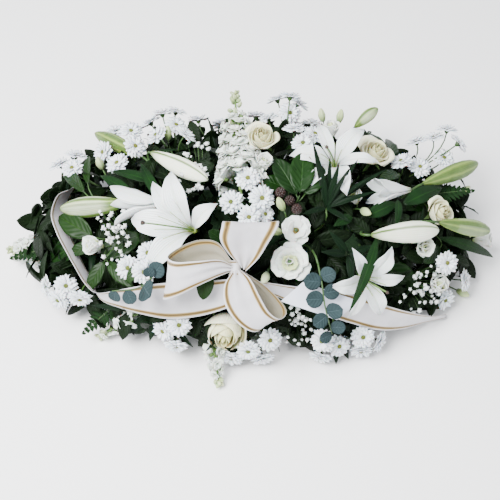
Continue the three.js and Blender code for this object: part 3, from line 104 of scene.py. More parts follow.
# Blades, petals and leaves: the rib leaves the root along its way and turns from the normal by bend times s
# to a power; across, the blade rises by fold |t| + cupping t^2 and by ruffle t^2 sin(waves s).
def blade(root, along, normal, length, width, bend=0.0, power=1.0, fold=0.0, cupping=0.0, ruffle=0.0,
          waves=2.5, twist=0.0, peak=0.5, blunt=0.8, stem=0.2, teeth=0.0, teethCount=5, rows=8, cols=5):
    n = len(root)
    s, t = np.linspace(0, 1, rows), np.linspace(-1, 1, cols)
    along = unit(along)
    normal = unit(normal - along * (normal * along).sum(1, keepdims=True))
    side = np.cross(along, normal)
    turn = spread(bend, n)[:, None] * s[None] ** power
    step = 1 / (rows - 1)
    run = np.concatenate([np.zeros((n, 1)), np.cumsum(np.cos(turn[:, 1:]) + np.cos(turn[:, :-1]),
                                                      1) * step / 2], 1)
    fall = np.concatenate([np.zeros((n, 1)), np.cumsum(np.sin(turn[:, 1:]) + np.sin(turn[:, :-1]),
                                                       1) * step / 2], 1)
    size = spread(length, n)[:, None, None]
    rib = root[:, None] + size * (along[:, None] * run[..., None] - normal[:, None] * fall[..., None])
    top = normal[:, None] * np.cos(turn)[..., None] + along[:, None] * np.sin(turn)[..., None]
    roll = (spread(twist, n)[:, None] * s[None])[..., None]
    across = side[:, None] * np.cos(roll) + top * np.sin(roll)
    top = top * np.cos(roll) - side[:, None] * np.sin(roll)
    half = spread(width, n)[:, None] / 2 * outline(s, peak, blunt, stem)[None]
    half = half * (1 - teeth * (0.5 + 0.5 * np.cos(2 * np.pi * teethCount * s[None])))
    phase = draw.uniform(0, anyAngle, (n, 1))
    wave = np.sin(2 * np.pi * waves * s[None] + phase)[..., None] * np.sign(t) ** 2
    wave = wave + 0.6 * np.sin(2 * np.pi * waves * 1.7 * s[None] + 2 * phase)[..., None] * np.sign(t)
    rise = spread(fold, n)[:, None, None] * np.abs(t) + spread(cupping, n)[:, None, None] * t**2
    rise = rise + spread(ruffle, n)[:, None, None] * wave * t**2
    return (rib[:, :, None] + across[:, :, None] * (half[..., None] * t)[..., None]
            + top[:, :, None] * (half[..., None] * rise)[..., None])


# A set of grids, points[sheet, row, column], as one patch; its UV runs across and along each sheet.
def sheets(points, toneAndShade=None, lengthwise=1.0):
    n, rows, cols = points.shape[:3]
    first = (np.arange(rows - 1)[:, None] * cols + np.arange(cols - 1)).ravel()
    quad = np.stack([first, first + 1, first + cols + 1, first + cols], 1)
    u, v = np.meshgrid(np.linspace(0, 1, cols), np.linspace(0, lengthwise, rows))
    toneAndShade = draw.uniform(0, 1, n) if toneAndShade is None else spread(toneAndShade, n)
    return {"points": points.reshape(-1, 3), "uv": np.tile(np.stack([u, v], -1).reshape(-1, 2), (n, 1)),
            "quads": (np.arange(n)[:, None, None] * rows * cols + quad).reshape(-1, 4),
            "triangles": np.zeros((0, 3), int), "toneAndShade": np.repeat(toneAndShade, rows * cols)}


# Closed skins from rings of points[body, ring, corner], with a pole at each end.
def skinned(rings, poles, toneAndShade=None):
    n, count, sides = rings.shape[:3]
    k = np.arange(sides)
    after = (k + 1) % sides
    wall = (np.arange(count - 1)[:, None, None] * sides
            + np.stack([k, after, after + sides, k + sides], 1)[None]).reshape(-1, 4)
    low, high = np.full(sides, count * sides), np.full(sides, count * sides + 1)
    last = (count - 1) * sides
    caps = np.concatenate([np.stack([low, after, k], 1), np.stack([high, last + k, last + after], 1)])
    total = count * sides + 2
    offset = np.arange(n)[:, None, None] * total
    u, v = np.meshgrid(k / sides, (np.arange(count) + 0.5) / count)
    uv = np.concatenate([np.stack([u, v], -1).reshape(-1, 2), [[0.5, 0], [0.5, 1]]])
    points = np.concatenate([rings.reshape(n, -1, 3), poles], 1)
    toneAndShade = draw.uniform(0, 1, n) if toneAndShade is None else spread(toneAndShade, n)
    return {"points": points.reshape(-1, 3), "uv": np.tile(uv, (n, 1)), "toneAndShade": np.repeat(toneAndShade, total),
            "quads": (offset + wall).reshape(-1, 4), "triangles": (offset + caps).reshape(-1, 3)}


# Turned bodies: profile rows are [radius, height] from pole to pole; the radius swells by depth cos(lobes a).
def turned(places, directions, profile, size=1.0, sides=8, lobes=0, depth=0.0, toneAndShade=None):
    profile = np.asarray(profile, float)
    n = len(places)
    size = spread(size, n)[:, None, None]
    x, y = crosswise(directions)
    a = 2 * np.pi * np.arange(sides) / sides
    reach = profile[1:-1, :1] * (1 + depth * np.cos(lobes * a))
    flat = (x[:, None, None] * (reach * np.cos(a))[None, ..., None] + y[:, None,
        None] * (reach * np.sin(a))[None, ..., None])
    rings = places[:, None, None] + size[..., None] * (flat + directions[:, None, None] * profile[1:-1,
        1][None, :, None, None])
    poles = places[:, None] + size * directions[:, None] * profile[[0, -1], 1][None, :, None]
    return skinned(rings, poles, toneAndShade)


# Round stems along paths[stem, point], each with a radius at every point.
def tubes(paths, radii, sides=6):
    n, count = paths.shape[:2]
    ahead = unit(np.gradient(paths, axis=1))
    x, y = crosswise(ahead)
    a = 2 * np.pi * np.arange(sides) / sides
    radii = np.broadcast_to(radii, (n, count))[..., None, None]
    ring = x[:, :, None] * np.cos(a)[:, None] + y[:, :, None] * np.sin(a)[:, None]
    return skinned(paths[:, :, None] + radii * ring, paths[:, [0, -1]])


def bezier(start, control, end, count=8):  # (1-t)^2 start + 2t(1-t) control + t^2 end
    t = np.linspace(0, 1, count)[None, :, None]
    return (1 - t) ** 2 * start[:, None] + 2 * t * (1 - t) * control[:, None] + t**2 * end[:, None]


def smoothed(points, count):  # a Catmull-Rom curve through the points, count of them along it
    p = np.asarray(points, float)
    p = np.concatenate([2 * p[:1] - p[1:2], p, 2 * p[-1:] - p[-2:-1]])
    at = np.linspace(0, len(p) - 3 - 1e-9, count)
    i = at.astype(int)
    f = (at - i).reshape((-1,) + (1,) * (p.ndim - 1))
    a, b, c, d = p[i], p[i + 1], p[i + 2], p[i + 3]
    return 0.5 * (2 * b + (c - a) * f + (2 * a - 5 * b + 4 * c - d) * f**2 + (3 * b - 3 * c + d - a) * f**3)


def joined(patches):  # patches one after the other, their face numbers moved on
    starts = np.cumsum([0] + [len(p["points"]) for p in patches[:-1]])
    together = {key: np.concatenate([p[key] for p in patches]) for key in ("points", "uv", "toneAndShade")}
    for key in ("quads", "triangles"):
        together[key] = np.concatenate([p[key] + s for p, s in zip(patches, starts)])
    return together


def addPiece(name, patches, finish, nodes=(), thick=0.0, back=None):
    patch = joined(patches)
    mesh = bpy.data.meshes.new(name)
    mesh.from_pydata(patch["points"].tolist(), [], patch["quads"].tolist() + patch["triangles"].tolist())
    corners = np.concatenate([patch["quads"].ravel(), patch["triangles"].ravel()])
    layer = mesh.uv_layers.new(name="UVMap")
    layer.data.foreach_set("uv", patch["uv"][corners].astype(np.float32).ravel())
    toneAndShade = mesh.attributes.new("toneAndShade", "FLOAT", "POINT")
    toneAndShade.data.foreach_set("value", patch["toneAndShade"].astype(np.float32))
    mesh.polygons.foreach_set("use_smooth", np.ones(len(mesh.polygons), bool))
    mesh.materials.append(finish.material)
    mesh.update()
    piece = bpy.data.objects.new(name, mesh)
    bpy.context.scene.collection.objects.link(piece)
    if thick:
        solid = piece.modifiers.new("thickness", "SOLIDIFY")
        solid.thickness = thick
        solid.offset = 0.0
        if back:
            mesh.materials.append(back.material)
            solid.material_offset = 1
    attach(piece, "root")
    if nodes:
        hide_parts(*nodes)
    return piece


class Value:  # a shader socket; arithmetic on it adds Math nodes
    def __init__(self, finish, socket):
        self.finish, self.socket = finish, socket

    def math(self, operation, first, second=None):
        inputs = {0: first} if second is None else {0: first, 1: second}
        return self.finish.node("ShaderNodeMath", {"operation": operation}, inputs)

    def __add__(self, other): return self.math("ADD", self, other)
    def __radd__(self, other): return self.math("ADD", other, self)
    def __sub__(self, other): return self.math("SUBTRACT", self, other)
    def __rsub__(self, other): return self.math("SUBTRACT", other, self)
    def __mul__(self, other): return self.math("MULTIPLY", self, other)
    def __rmul__(self, other): return self.math("MULTIPLY", other, self)
    def __truediv__(self, other): return self.math("DIVIDE", self, other)
    def __pow__(self, other): return self.math("POWER", self, other)
    def sine(self): return self.math("SINE", self)
    def size(self): return self.math("ABSOLUTE", self)
    def held(self): return self.math("MINIMUM", self.math("MAXIMUM", self, 0.0), 1.0)  # kept within 0 and 1


def colour(code):  # a web colour as linear light
    parts = [int(code[i:i + 2], 16) / 255 for i in (1, 3, 5)]
    return (*[c / 12.92 if c < 0.04045 else ((c + 0.055) / 1.055) ** 2.4 for c in parts], 1.0)


class Finish:  # one procedural material
    def __init__(self, name, fixed):
        self.material = bpy.data.materials.new(name)
        self.material.use_nodes = True
        self.tree = self.material.node_tree
        self.shader = self.tree.nodes["Principled BSDF"]
        for socket, value in fixed.items():
            self.shader.inputs[socket].default_value = value

    def node(self, kind, settings=None, inputs=None, output=0):
        new = self.tree.nodes.new(kind)
        for key, value in (settings or {}).items():
            setattr(new, key, value)
        for key, value in (inputs or {}).items():
            if isinstance(value, Value):
                self.tree.links.new(value.socket, new.inputs[key])
            else:
                new.inputs[key].default_value = value
        return Value(self, new.outputs[output])

    def place(self):
        return self.node("ShaderNodeTexCoord", output=3)

    def sheetPlace(self):  # across and along the sheet
        uv = self.node("ShaderNodeTexCoord", output=2)
        return self.node("ShaderNodeSeparateXYZ", None, {0: uv}), self.node("ShaderNodeSeparateXYZ", None,
            {0: uv}, 1)

    def toneAndShade(self):
        return self.node("ShaderNodeAttribute", {"attribute_name": "toneAndShade"}, output=2)

    def noise(self, scale, detail=3.0):
        return self.node("ShaderNodeTexNoise", None, {"Vector": self.place(), "Scale": scale,
                                                      "Detail": detail})

    def mix(self, factor, a, b):
        return self.node("ShaderNodeMix", {"data_type": "RGBA"}, {0: factor, 6: a, 7: b}, 2)

    def bump(self, height, depth):
        return self.node("ShaderNodeBump", None, {"Height": height, "Distance": depth, "Strength": 1.0})

    def feed(self, values):
        for key, value in values.items():
            self.tree.links.new(value.socket, self.shader.inputs[key])
        return self


# Petals: two tones by the petal, a green throat, a tinged midrib, fine veins along it and soft mottling.
def petalFinish(name, tones, throat, throatEnd=0.25, rib=0.0, veins=14.0, depth=0.0004, roughness=0.5):
    finish = Finish(name, {"Roughness": roughness, "Subsurface Weight": 0.12, "Subsurface Scale": 0.004,
                           "Sheen Weight": 0.15})
    across, along = finish.sheetPlace()
    mottleAndShade = finish.noise(60.0)
    base = finish.mix(finish.toneAndShade(), colour(tones[0]), colour(tones[1]))
    base = finish.mix((mottleAndShade * 1.6 - 0.45).held() * 0.35, base, colour(tones[2]))
    low = ((throatEnd - along) / throatEnd).held() ** 1.4
    middle = (1 - (across - 0.5).size() * 14.0).held() * rib * (1.15 - along).held()
    base = finish.mix((low + middle).held(), base, colour(throat))
    vein = ((across - 0.5) * (veins * 6.283) + mottleAndShade * 2.0).sine()
    height = vein * 0.5 + mottleAndShade * 1.2 + finish.noise(900.0, 2.0) * 0.5
    return finish.feed({"Base Color": base, "Normal": finish.bump(height, depth)})


# Leaves: two greens by the leaf, a pale midrib, side veins that sweep to the edge, and worn gloss.
def leafFinish(name, tones, vein, veins=9.0, sweep=5.0, gloss=0.35, coat=0.0, depth=0.0006):
    finish = Finish(name, {"Coat Weight": coat, "Coat Roughness": 0.3, "Specular IOR Level": 0.12})
    across, along = finish.sheetPlace()
    mottleAndShade = finish.noise(45.0)
    fine = finish.noise(500.0, 2.0)
    off = (across - 0.5).size()
    rib = (1 - off * 22.0).held()
    lines = ((along * veins - off * sweep) * 6.283).sine()
    line = (lines * 3.0 - 2.1).held()
    base = finish.mix(finish.toneAndShade(), colour(tones[0]), colour(tones[1]))
    base = finish.mix((mottleAndShade * 1.8 - 0.5).held() * 0.6, base, colour(tones[2]))
    base = finish.mix((rib * 0.55 + line * 0.16).held(), base, colour(vein))
    rough = (gloss + mottleAndShade * 0.25 + fine * 0.08).held()
    height = lines * 0.35 - rib * 1.2 + fine * 0.25
    return finish.feed({"Base Color": base, "Roughness": rough, "Normal": finish.bump(height, depth)})


# Stems, calyxes and other plain plant parts: two tones with streaks and fine grain.
def plainFinish(name, tones, roughness=0.5, scale=120.0, depth=0.0003):
    finish = Finish(name, {"Subsurface Weight": 0.05, "Subsurface Scale": 0.002})
    mottleAndShade, fine = finish.noise(scale), finish.noise(scale * 8, 2.0)
    base = finish.mix(finish.toneAndShade(), colour(tones[0]), colour(tones[1]))
    base = finish.mix((mottleAndShade * 1.8 - 0.45).held(), base, colour(tones[2]))
    rough = (roughness + fine * 0.2 - 0.05).held()
    return finish.feed({"Base Color": base, "Roughness": rough, "Normal": finish.bump(mottleAndShade + fine * 0.6,
        depth)})


finishes = {
    "lily": petalFinish("lilyWhite", ["#f4f6f7", "#e9eeee", "#dae1df"], "#b6c98a", 0.16, 0.35, 12, 0.0006,
                        0.42),
    "daisy": petalFinish("daisyWhite", ["#f5f7fa", "#e8edf3", "#d2dae2"], "#cfd9a0", 0.12, 0.0, 3, 0.0003),
    "lisianthus": petalFinish("lisianthusWhite", ["#f5f6f1", "#ebeee6", "#dde2d4"], "#a9bd62", 0.42, 0.1, 12),
    "eye": plainFinish("lisianthusEye", ["#6a4c0e", "#4f380c", "#7c6a1c"], 0.6, 500.0, 0.001),
    "cup": petalFinish("lisianthusCup", ["#dde6b6", "#c6d48c", "#b4c574"], "#68862c", 0.7, 0.2, 10),
    "green bud": petalFinish("lisianthusBud", ["#d2dcb4", "#adc07e", "#93ab5f"], "#49682a", 0.9, 0.0, 5),
    "rose": petalFinish("roseCream", ["#f1eed8", "#d3cf7c", "#ddd7a2"], "#c3bd5c", 0.3, 0.0, 16),
    "stock": petalFinish("stockWhite", ["#f2f5f0", "#e6ece2", "#cfdac6"], "#a6c078", 0.3, 0.0, 6),
    "baby": plainFinish("babyBreathWhite", ["#f4f6f7", "#e2e7e6", "#cbd2cb"], 0.6, 500.0),
    "disc": plainFinish("discYellowGreen", ["#7b7a1c", "#5c6a1c", "#414f16"], 0.7, 900.0, 0.0012),
    "heart": plainFinish("filamentGreen", ["#a9bb62", "#8ea748", "#728c34"], 0.5, 300.0),
    "stem": plainFinish("stemGreen", ["#41612a", "#304e20", "#223a19"], 0.5, 90.0),
    "pale stem": plainFinish("paleStemGreen", ["#6d8a48", "#5a7a3a", "#48662e"], 0.5, 90.0),
    "salal": leafFinish("salalLeaf", ["#0d2607", "#081c06", "#15330d"], "#254519", 6.0, 4.0, 0.3, 0.1),
    "under": leafFinish("underLeaf", ["#0a1907", "#050d04", "#10210b"], "#182d10", 7.0, 4.0, 0.42, 0.0),
    "palm": leafFinish("palmLeaf", ["#0b2110", "#07180b", "#122d15"], "#1d3a1a", 1.0, 26.0, 0.34, 0.05),
    "lily leaf": leafFinish("lilyLeaf", ["#0d2b0d", "#09210b", "#173c12"], "#264e1d", 1.0, 26.0, 0.36, 0.06),
    "fresh": leafFinish("freshLeaf", ["#122a09", "#0d2106", "#1a380d"], "#24420f", 6.0, 4.0, 0.32, 0.1),
    "fern": leafFinish("fernLeaf", ["#0e260d", "#091b09", "#193615"], "#284a1e", 4.0, 3.0, 0.45, 0.0),
    "silver": leafFinish("eucalyptusLeaf", ["#263436", "#1a2728", "#37484b"], "#42555a", 5.0, 3.0, 0.55, 0.0),
    "stigma": plainFinish("stigmaBrown", ["#2c1c14", "#20140f", "#3a281c"], 0.5, 300.0),
    "berry": plainFinish("berryBrown", ["#1c0a06", "#110503", "#2d130c"], 0.35, 260.0, 0.0006),
}


ribbonEdge = {"threads": [0.058, 0.136], "band": 0.097, "sharp": 90.0, "soft": 80.0}  # shares of the width


# Satin ribbon: ivory with a soft weave, and near each edge a brown band between two gold threads. A broad
# noise greys it as painted shade, and the per-point value darkens it to grey-brown as painted shade.
def satinFinish(name, tones):
    finish = Finish(name, {"Sheen Weight": 0.4, "Sheen Roughness": 0.3, "Coat Roughness": 0.3,
                           "Anisotropic": 0.4, "Subsurface Weight": 0.03, "Subsurface Scale": 0.002})
    across, along = finish.sheetPlace()
    mottleAndShade = finish.noise(18.0)
    # painted shade: a broad noise mixes the ivory towards the second, greyer tone
    base = finish.mix((mottleAndShade * 2.4 - 0.8).held(), colour(tones[0]), colour(tones[1]))
    # painted shade: the per-point value pulls the satin towards grey-brown where the bow gathers and creases
    base = finish.mix(finish.toneAndShade() * 0.75, base, colour("#8d8478"))
    weave = (across * 900.0).sine() * 0.5 + (along * 900.0).sine() * 0.5
    inset = 0.5 - (across - 0.5).size()  # 0 at the edge, a half at the middle
    inner, outer = [(2.0 - (inset - at).size() * ribbonEdge["sharp"]).held() for at in ribbonEdge["threads"]]
    brown = (4.0 - (inset - ribbonEdge["band"]).size() * ribbonEdge["soft"]).held()
    hatch = (along * 420.0).sine() * 0.5 + 0.5
    thread = (inner + outer).held()
    glitter = finish.mix((hatch * 0.5 + mottleAndShade * 0.4).held(), colour("#6b521f"), colour("#3a290c"))
    base = finish.mix(thread * 0.7, finish.mix(brown, base, glitter), colour("#a18645"))
    return finish.feed({"Base Color": base, "Roughness": (0.4 + mottleAndShade * 0.12 - thread * 0.1).held(),
                        "Metallic": brown * 0.15, "Normal": finish.bump(weave * 0.4 + thread * 1.5, 0.00018)})


# the second, greyer tone of each satin is painted shade
finishes["satin"] = satinFinish("ivorySatin", ["#dddce1", "#b7b5ba"])
# the dark greige back is the matte underside of the satin and painted shade inside the loops
finishes["satinBack"] = satinFinish("ivorySatinShadedBack", ["#88836f", "#746f5c"])
print("finishes made")


# Rings of petals round each head's axis: lean is the angle from the axis at the root, and bend adds to it.
def blooms(places, directions, sizes, rings):
    patches = []
    n = len(places)
    x, y = crosswise(directions)
    spin = draw.uniform(0, anyAngle, (n, 1))
    for ring in rings:
        count, jitter = ring["count"], ring.get("jitter", 0.08)
        a = spin + ring.get("turn", 0) + 2 * np.pi * np.arange(count) / count + draw.normal(0, jitter,
            (n, count))
        out = x[:, None] * np.cos(a)[..., None] + y[:, None] * np.sin(a)[..., None]
        lean = (np.radians(ring["lean"]) + draw.normal(0, jitter, (n, count)))[..., None]
        axis = np.broadcast_to(directions[:, None], out.shape)
        along = axis * np.cos(lean) + out * np.sin(lean)
        normal = axis * np.sin(lean) - out * np.cos(lean)
        size = np.broadcast_to(spread(sizes, n)[:, None], (n, count))
        root = places[:, None] + size[..., None] * (out * ring["radius"] + axis * ring["height"])
        each = size.ravel() * draw.uniform(0.92, 1.06, n * count)
        points = blade(root.reshape(-1, 3), along.reshape(-1, 3), normal.reshape(-1, 3),
                       each * ring["length"],
                       each * ring["width"], np.radians(ring["bend"]) + draw.normal(0, jitter, n * count),
                       ring.get("power", 1.0), 0.0, ring.get("cupping", 0.15), ring.get("ruffle", 0.0),
                       ring.get("waves", 2.5), draw.normal(0, ring.get("twist", 0.1), n * count),
                       ring.get("peak", 0.6), ring.get("blunt", 0.6), ring.get("stem", 0.25),
                       rows=ring.get("rows", 6), cols=ring.get("cols", 5))
        patches.append(sheets(points, np.repeat(draw.uniform(0, 1, (n, 1)), count, 1).ravel() * 0.7
                              + draw.uniform(0, 0.3, n * count)))
    return patches


nodeCorners = {}
for nodeName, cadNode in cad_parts.items():
    corners = np.zeros(len(cadNode.data.vertices) * 3, np.float32)
    cadNode.data.vertices.foreach_get("co", corners)
    nodeCorners[nodeName] = corners.reshape(-1, 3).astype(float)


def nearestWay(node, tries):  # the number of the try that lies closest to a corner of the node
    gaps = np.linalg.norm(tries[:, None] - nodeCorners[node][None], axis=2).min(1)
    return int(gaps.argmin())


slides = np.array([0, 5, -5, 10, -10, 15, -15, 20, -20, 26, -26, 32, -32.0])


# A head slides along its line of sight in the solids; this finds by how much, from a point that it has.
def settled(node, at, direction, ahead):
    tries = seat([[at[0], at[1], at[2] + s] for s in slides])
    return tries[nearestWay(node, tries + direction * ahead)]


footing = {"long": 0.440, "height": 0.056}
forkShare = 0.55


def footOf(ends):  # where the stem of an end stands in the foam
    x = np.clip(0.55 * ends[:, 0], -0.46 * footing["long"], 0.46 * footing["long"])
    return np.stack([x, np.clip(0.25 * ends[:, 1], -0.048, 0.048), np.full(len(ends), footing["height"])], 1)


# One stem from the foam to the middle of a bunch, and a curved branch from it to each end.
def stems(ends, arrive, stem=0.0019, branch=0.0011):
    middle = ends.mean(0, keepdims=True)
    base = footOf(middle)
    fork = base + (middle - base) * forkShare
    if len(ends) == 1:
        control = ends - arrive * 0.3 * np.linalg.norm(ends - base, axis=1)[:, None]
        return [tubes(bezier(base, control, ends), stem)]
    trunk = tubes(bezier(base, (base + fork) / 2 + [[0, 0, 0.01]], fork), np.linspace(stem, stem * 0.8, 8))
    starts = np.repeat(fork, len(ends), 0)
    control = ends - arrive * 0.35 * np.linalg.norm(ends - starts, axis=1)[:, None]
    return [trunk, tubes(bezier(starts, control, ends), np.linspace(branch * 1.2, branch, 8))]


chrysanthemums = {
    "chrysanthemum_centre": [
        [248, 178, 4, [-0.05, 0.25, 1]], [262, 198, 6, [0.15, 0.05, 1], 1.05],
        [231, 202, 2, [-0.2, 0.1, 1]], [249, 217, 4, [0, -0.1, 1], 0.95],
        [265, 214, 0, [0.5, 0, 0.8], 0.85]],
    "chrysanthemum_far_left": [
        [59, 164, 4, [-0.4, 0.85, 0.3]], [76, 155, 4, [0.2, 0.95, 0.2]], [72, 168, 2, [-0.2, 0.5, 0.8]]],
    "chrysanthemum_left_back": [
        [115, 131, 4, [-0.2, 0.8, 0.5]], [131, 131, 0, [0.2, 0.5, 0.85]], [103, 152, 2, [-0.6, 0.1, 0.8]],
        [135, 146, 4, [0.5, 0.2, 0.8]], [117, 163, 0, [-0.3, 0.5, 0.8]]],
    "chrysanthemum_back": [
        [150, 122, 4, [-0.5, 0.85, 0.1]], [162, 113, 6, [-0.2, 0.95, 0.1]],
        [176, 111, 4, [0.2, 0.95, 0.2]], [176, 125, 0, [0.3, 0.6, 0.7]], [156, 135, 2, [-0.5, 0.6, 0.6]],
        [186, 134, 4, [0.6, 0.7, 0.3]]],
    "chrysanthemum_top": [
        [277, 99, 4, [-0.3, 0.95, 0.1]], [290, 96, 6, [0.1, 0.98, 0.1]], [299, 103, 2, [0.6, 0.75, 0.2]],
        [290, 113, 0, [0.2, 0.2, 0.9]], [268, 118, 0, [-0.3, 0.9, 0.2]], [294, 128, 2, [0, 0.9, 0.3]],
        [303, 143, 4, [0, 0.5, 0.85]], [315, 134, 0, [0.3, 0.7, 0.6], 1.05]],
    "chrysanthemum_right_back": [
        [416, 141, 2, [-0.3, 0.9, 0.2]], [433, 137, 4, [-0.2, 0.9, 0.3]], [447, 129, 6, [0.1, 0.95, 0.2]],
        [459, 143, 4, [0.8, 0.6, 0.1]], [401, 161, 2, [-0.3, 0.8, 0.5]], [420, 167, 4, [0.1, 0.5, 0.85]],
        [444, 158, 2, [0.2, 0.5, 0.8]]],
    "chrysanthemum_left_front": [
        [46, 287, 4, [-0.9, -0.1, 0.4]], [58, 300, 2, [-0.4, -0.6, 0.7]], [66, 286, 6, [0.1, 0.1, 0.9]],
        [80, 299, 2, [0, -0.8, 0.6]]],
    "chrysanthemum_front_left": [
        [179, 325, 4, [0.1, -0.1, 1]], [163, 331, 0, [-0.5, -0.4, 0.7]], [176, 346, 2, [-0.1, -0.9, 0.4]]],
    "chrysanthemum_front": [
        [270, 340, 4, [0.2, -0.3, 0.95]], [248, 351, 2, [0, -0.6, 0.8]], [263, 359, 0, [0.2, -0.9, 0.4]],
        [231, 358, -4, [-0.3, -0.8, 0.5]]],
    "chrysanthemum_front_right": [
        [322, 341, 4, [-0.3, -0.2, 0.9]], [320, 357, 0, [-0.3, -0.9, 0.3]],
        [339, 346, 2, [0.3, -0.3, 0.9]], [363, 337, 4, [0.1, -0.2, 0.95]], [361, 351, 0, [0, -0.9, 0.4]],
        [380, 341, 2, [0.9, -0.4, 0.3]]],
    "chrysanthemum_left": [
        [128, 268, 4, [-0.2, 0, 1]], [144, 272, 6, [0.1, -0.2, 1]], [148, 253, 2, [-0.3, 0.2, 0.9]]],
    "chrysanthemum_right": [
        [447, 263, 4, [0.3, 0, 0.9]], [465, 280, 2, [0.9, 0, 0.4]], [445, 300, 0, [0.5, -0.5, 0.7]]],
    "chrysanthemum_rear": [[78, 20], [88, 34], [98, 18], [70, 34], [106, 32]],
}
daisy = {
    "radius": 0.020, "disc": [[0, -0.06], [0.12, -0.04], [0.2, 0.03], [0.18, 0.11], [0.1, 0.16], [0, 0.17]],
    "calyx": [[0, -0.4], [0.1, -0.36], [0.2, -0.22], [0.26, -0.06], [0.12, 0.0], [0, 0.0]],
    "rings": [
        {"count": 17, "lean": 80, "bend": 24, "length": 0.88, "width": 0.33, "radius": 0.1, "height": -0.04,
         "cupping": -0.35, "peak": 0.72, "blunt": 0.45, "rows": 6, "cols": 4, "jitter": 0.07},
        {"count": 15, "lean": 70, "bend": 16, "length": 0.76, "width": 0.31, "radius": 0.1, "height": 0.0,
         "cupping": -0.3, "peak": 0.72, "blunt": 0.45, "rows": 5, "cols": 4, "turn": 0.2, "jitter": 0.1},
        {"count": 12, "lean": 52, "bend": 20, "length": 0.56, "width": 0.27, "radius": 0.1, "height": 0.04,
         "cupping": -0.2, "peak": 0.72, "blunt": 0.45, "rows": 5, "cols": 4, "turn": 0.45, "jitter": 0.12},
    ],
}
for name, heads in chrysanthemums.items():
    places, ways, sizes = [], [], []
    for head in heads:
        size = daisy["radius"] * (head[4] if len(head) > 4 else 1)
        if len(head) == 2:
            tries = onDome([[head[0], head[1], s] for s in slides])
            way = outward(onDome([head[0], head[1], 0]))[0]
            place = tries[nearestWay(name, tries + way * 0.2 * size)]
        else:
            way = facing(head[3])[0]
            place = settled(name, head, way, 0.2 * size)
        places.append(place)
        ways.append(way)
        sizes.append(size)
    places, ways, sizes = np.array(places), np.array(ways), np.array(sizes)
    addPiece(name + ".petals", blooms(places, ways, sizes, daisy["rings"]), finishes["daisy"],
             [name], 0.0005)
    addPiece(name + ".discs", [turned(places, ways, daisy["disc"], sizes, 12)], finishes["disc"])
    green = [turned(places, ways, daisy["calyx"], sizes, 8)] + stems(places - ways * 0.007, ways)
    addPiece(name + ".stems", green, finishes["stem"])
print("chrysanthemums made")

lisianthus = {
    "lisianthus_1": [["open", 290, 262, 4, [0, -0.1, 1], 0.8], ["bud", 265, 278, 0, [-0.3, -0.6, 0.7]]],
    "lisianthus_2": [
        ["cup", 296, 230, -6, [0.1, 0.2, 1], 0.68], ["bud", 281, 204, 2, [-0.4, 0.8, 0.4]],
        ["bud", 276, 231, 6, [-0.8, 0.2, 0.6]]],
    "lisianthus_3": [["shut", 264, 163, 0, [0.1, 0.5, 0.85]], ["bud", 168, 133, 2, [0, 0.9, 0.3]]],
    "lisianthus_4": [["shut", 93, 245, 4, [-0.75, 0.1, 0.65]], ["bud", 100, 163, 2, [-0.3, 0.8, 0.5]]],
    "lisianthus_5": [
        ["shut", 354, 197, -6, [-0.3, 0.5, 0.8], 0.95], ["bud", 366, 212, 4, [0.5, -0.3, 0.8]]],
    "lisianthus_6": [
        ["shut", 440, 285, 0, [-0.2, 0.5, 0.8], 1.1], ["bud", 463, 293, 2, [0.8, -0.4, 0.5]],
        ["shut", 424, 247, -4, [0.2, 0, 1]]],
    "lisianthus_7": [
        ["shut", 484, 240, 2, [0.9, 0, 0.45]], ["bud", 465, 236, 2, [0.7, 0, 0.7]],
        ["bud", 465, 191, 4, [0.6, 0.6, 0.4]]],
    "lisianthus_8": [
        ["shut", 331, 129, 2, [0, 0.85, 0.5]], ["bud", 322, 115, 4, [-0.2, 0.95, 0.2]],
        ["bud", 340, 116, 4, [0.2, 0.95, 0.2]]],
}
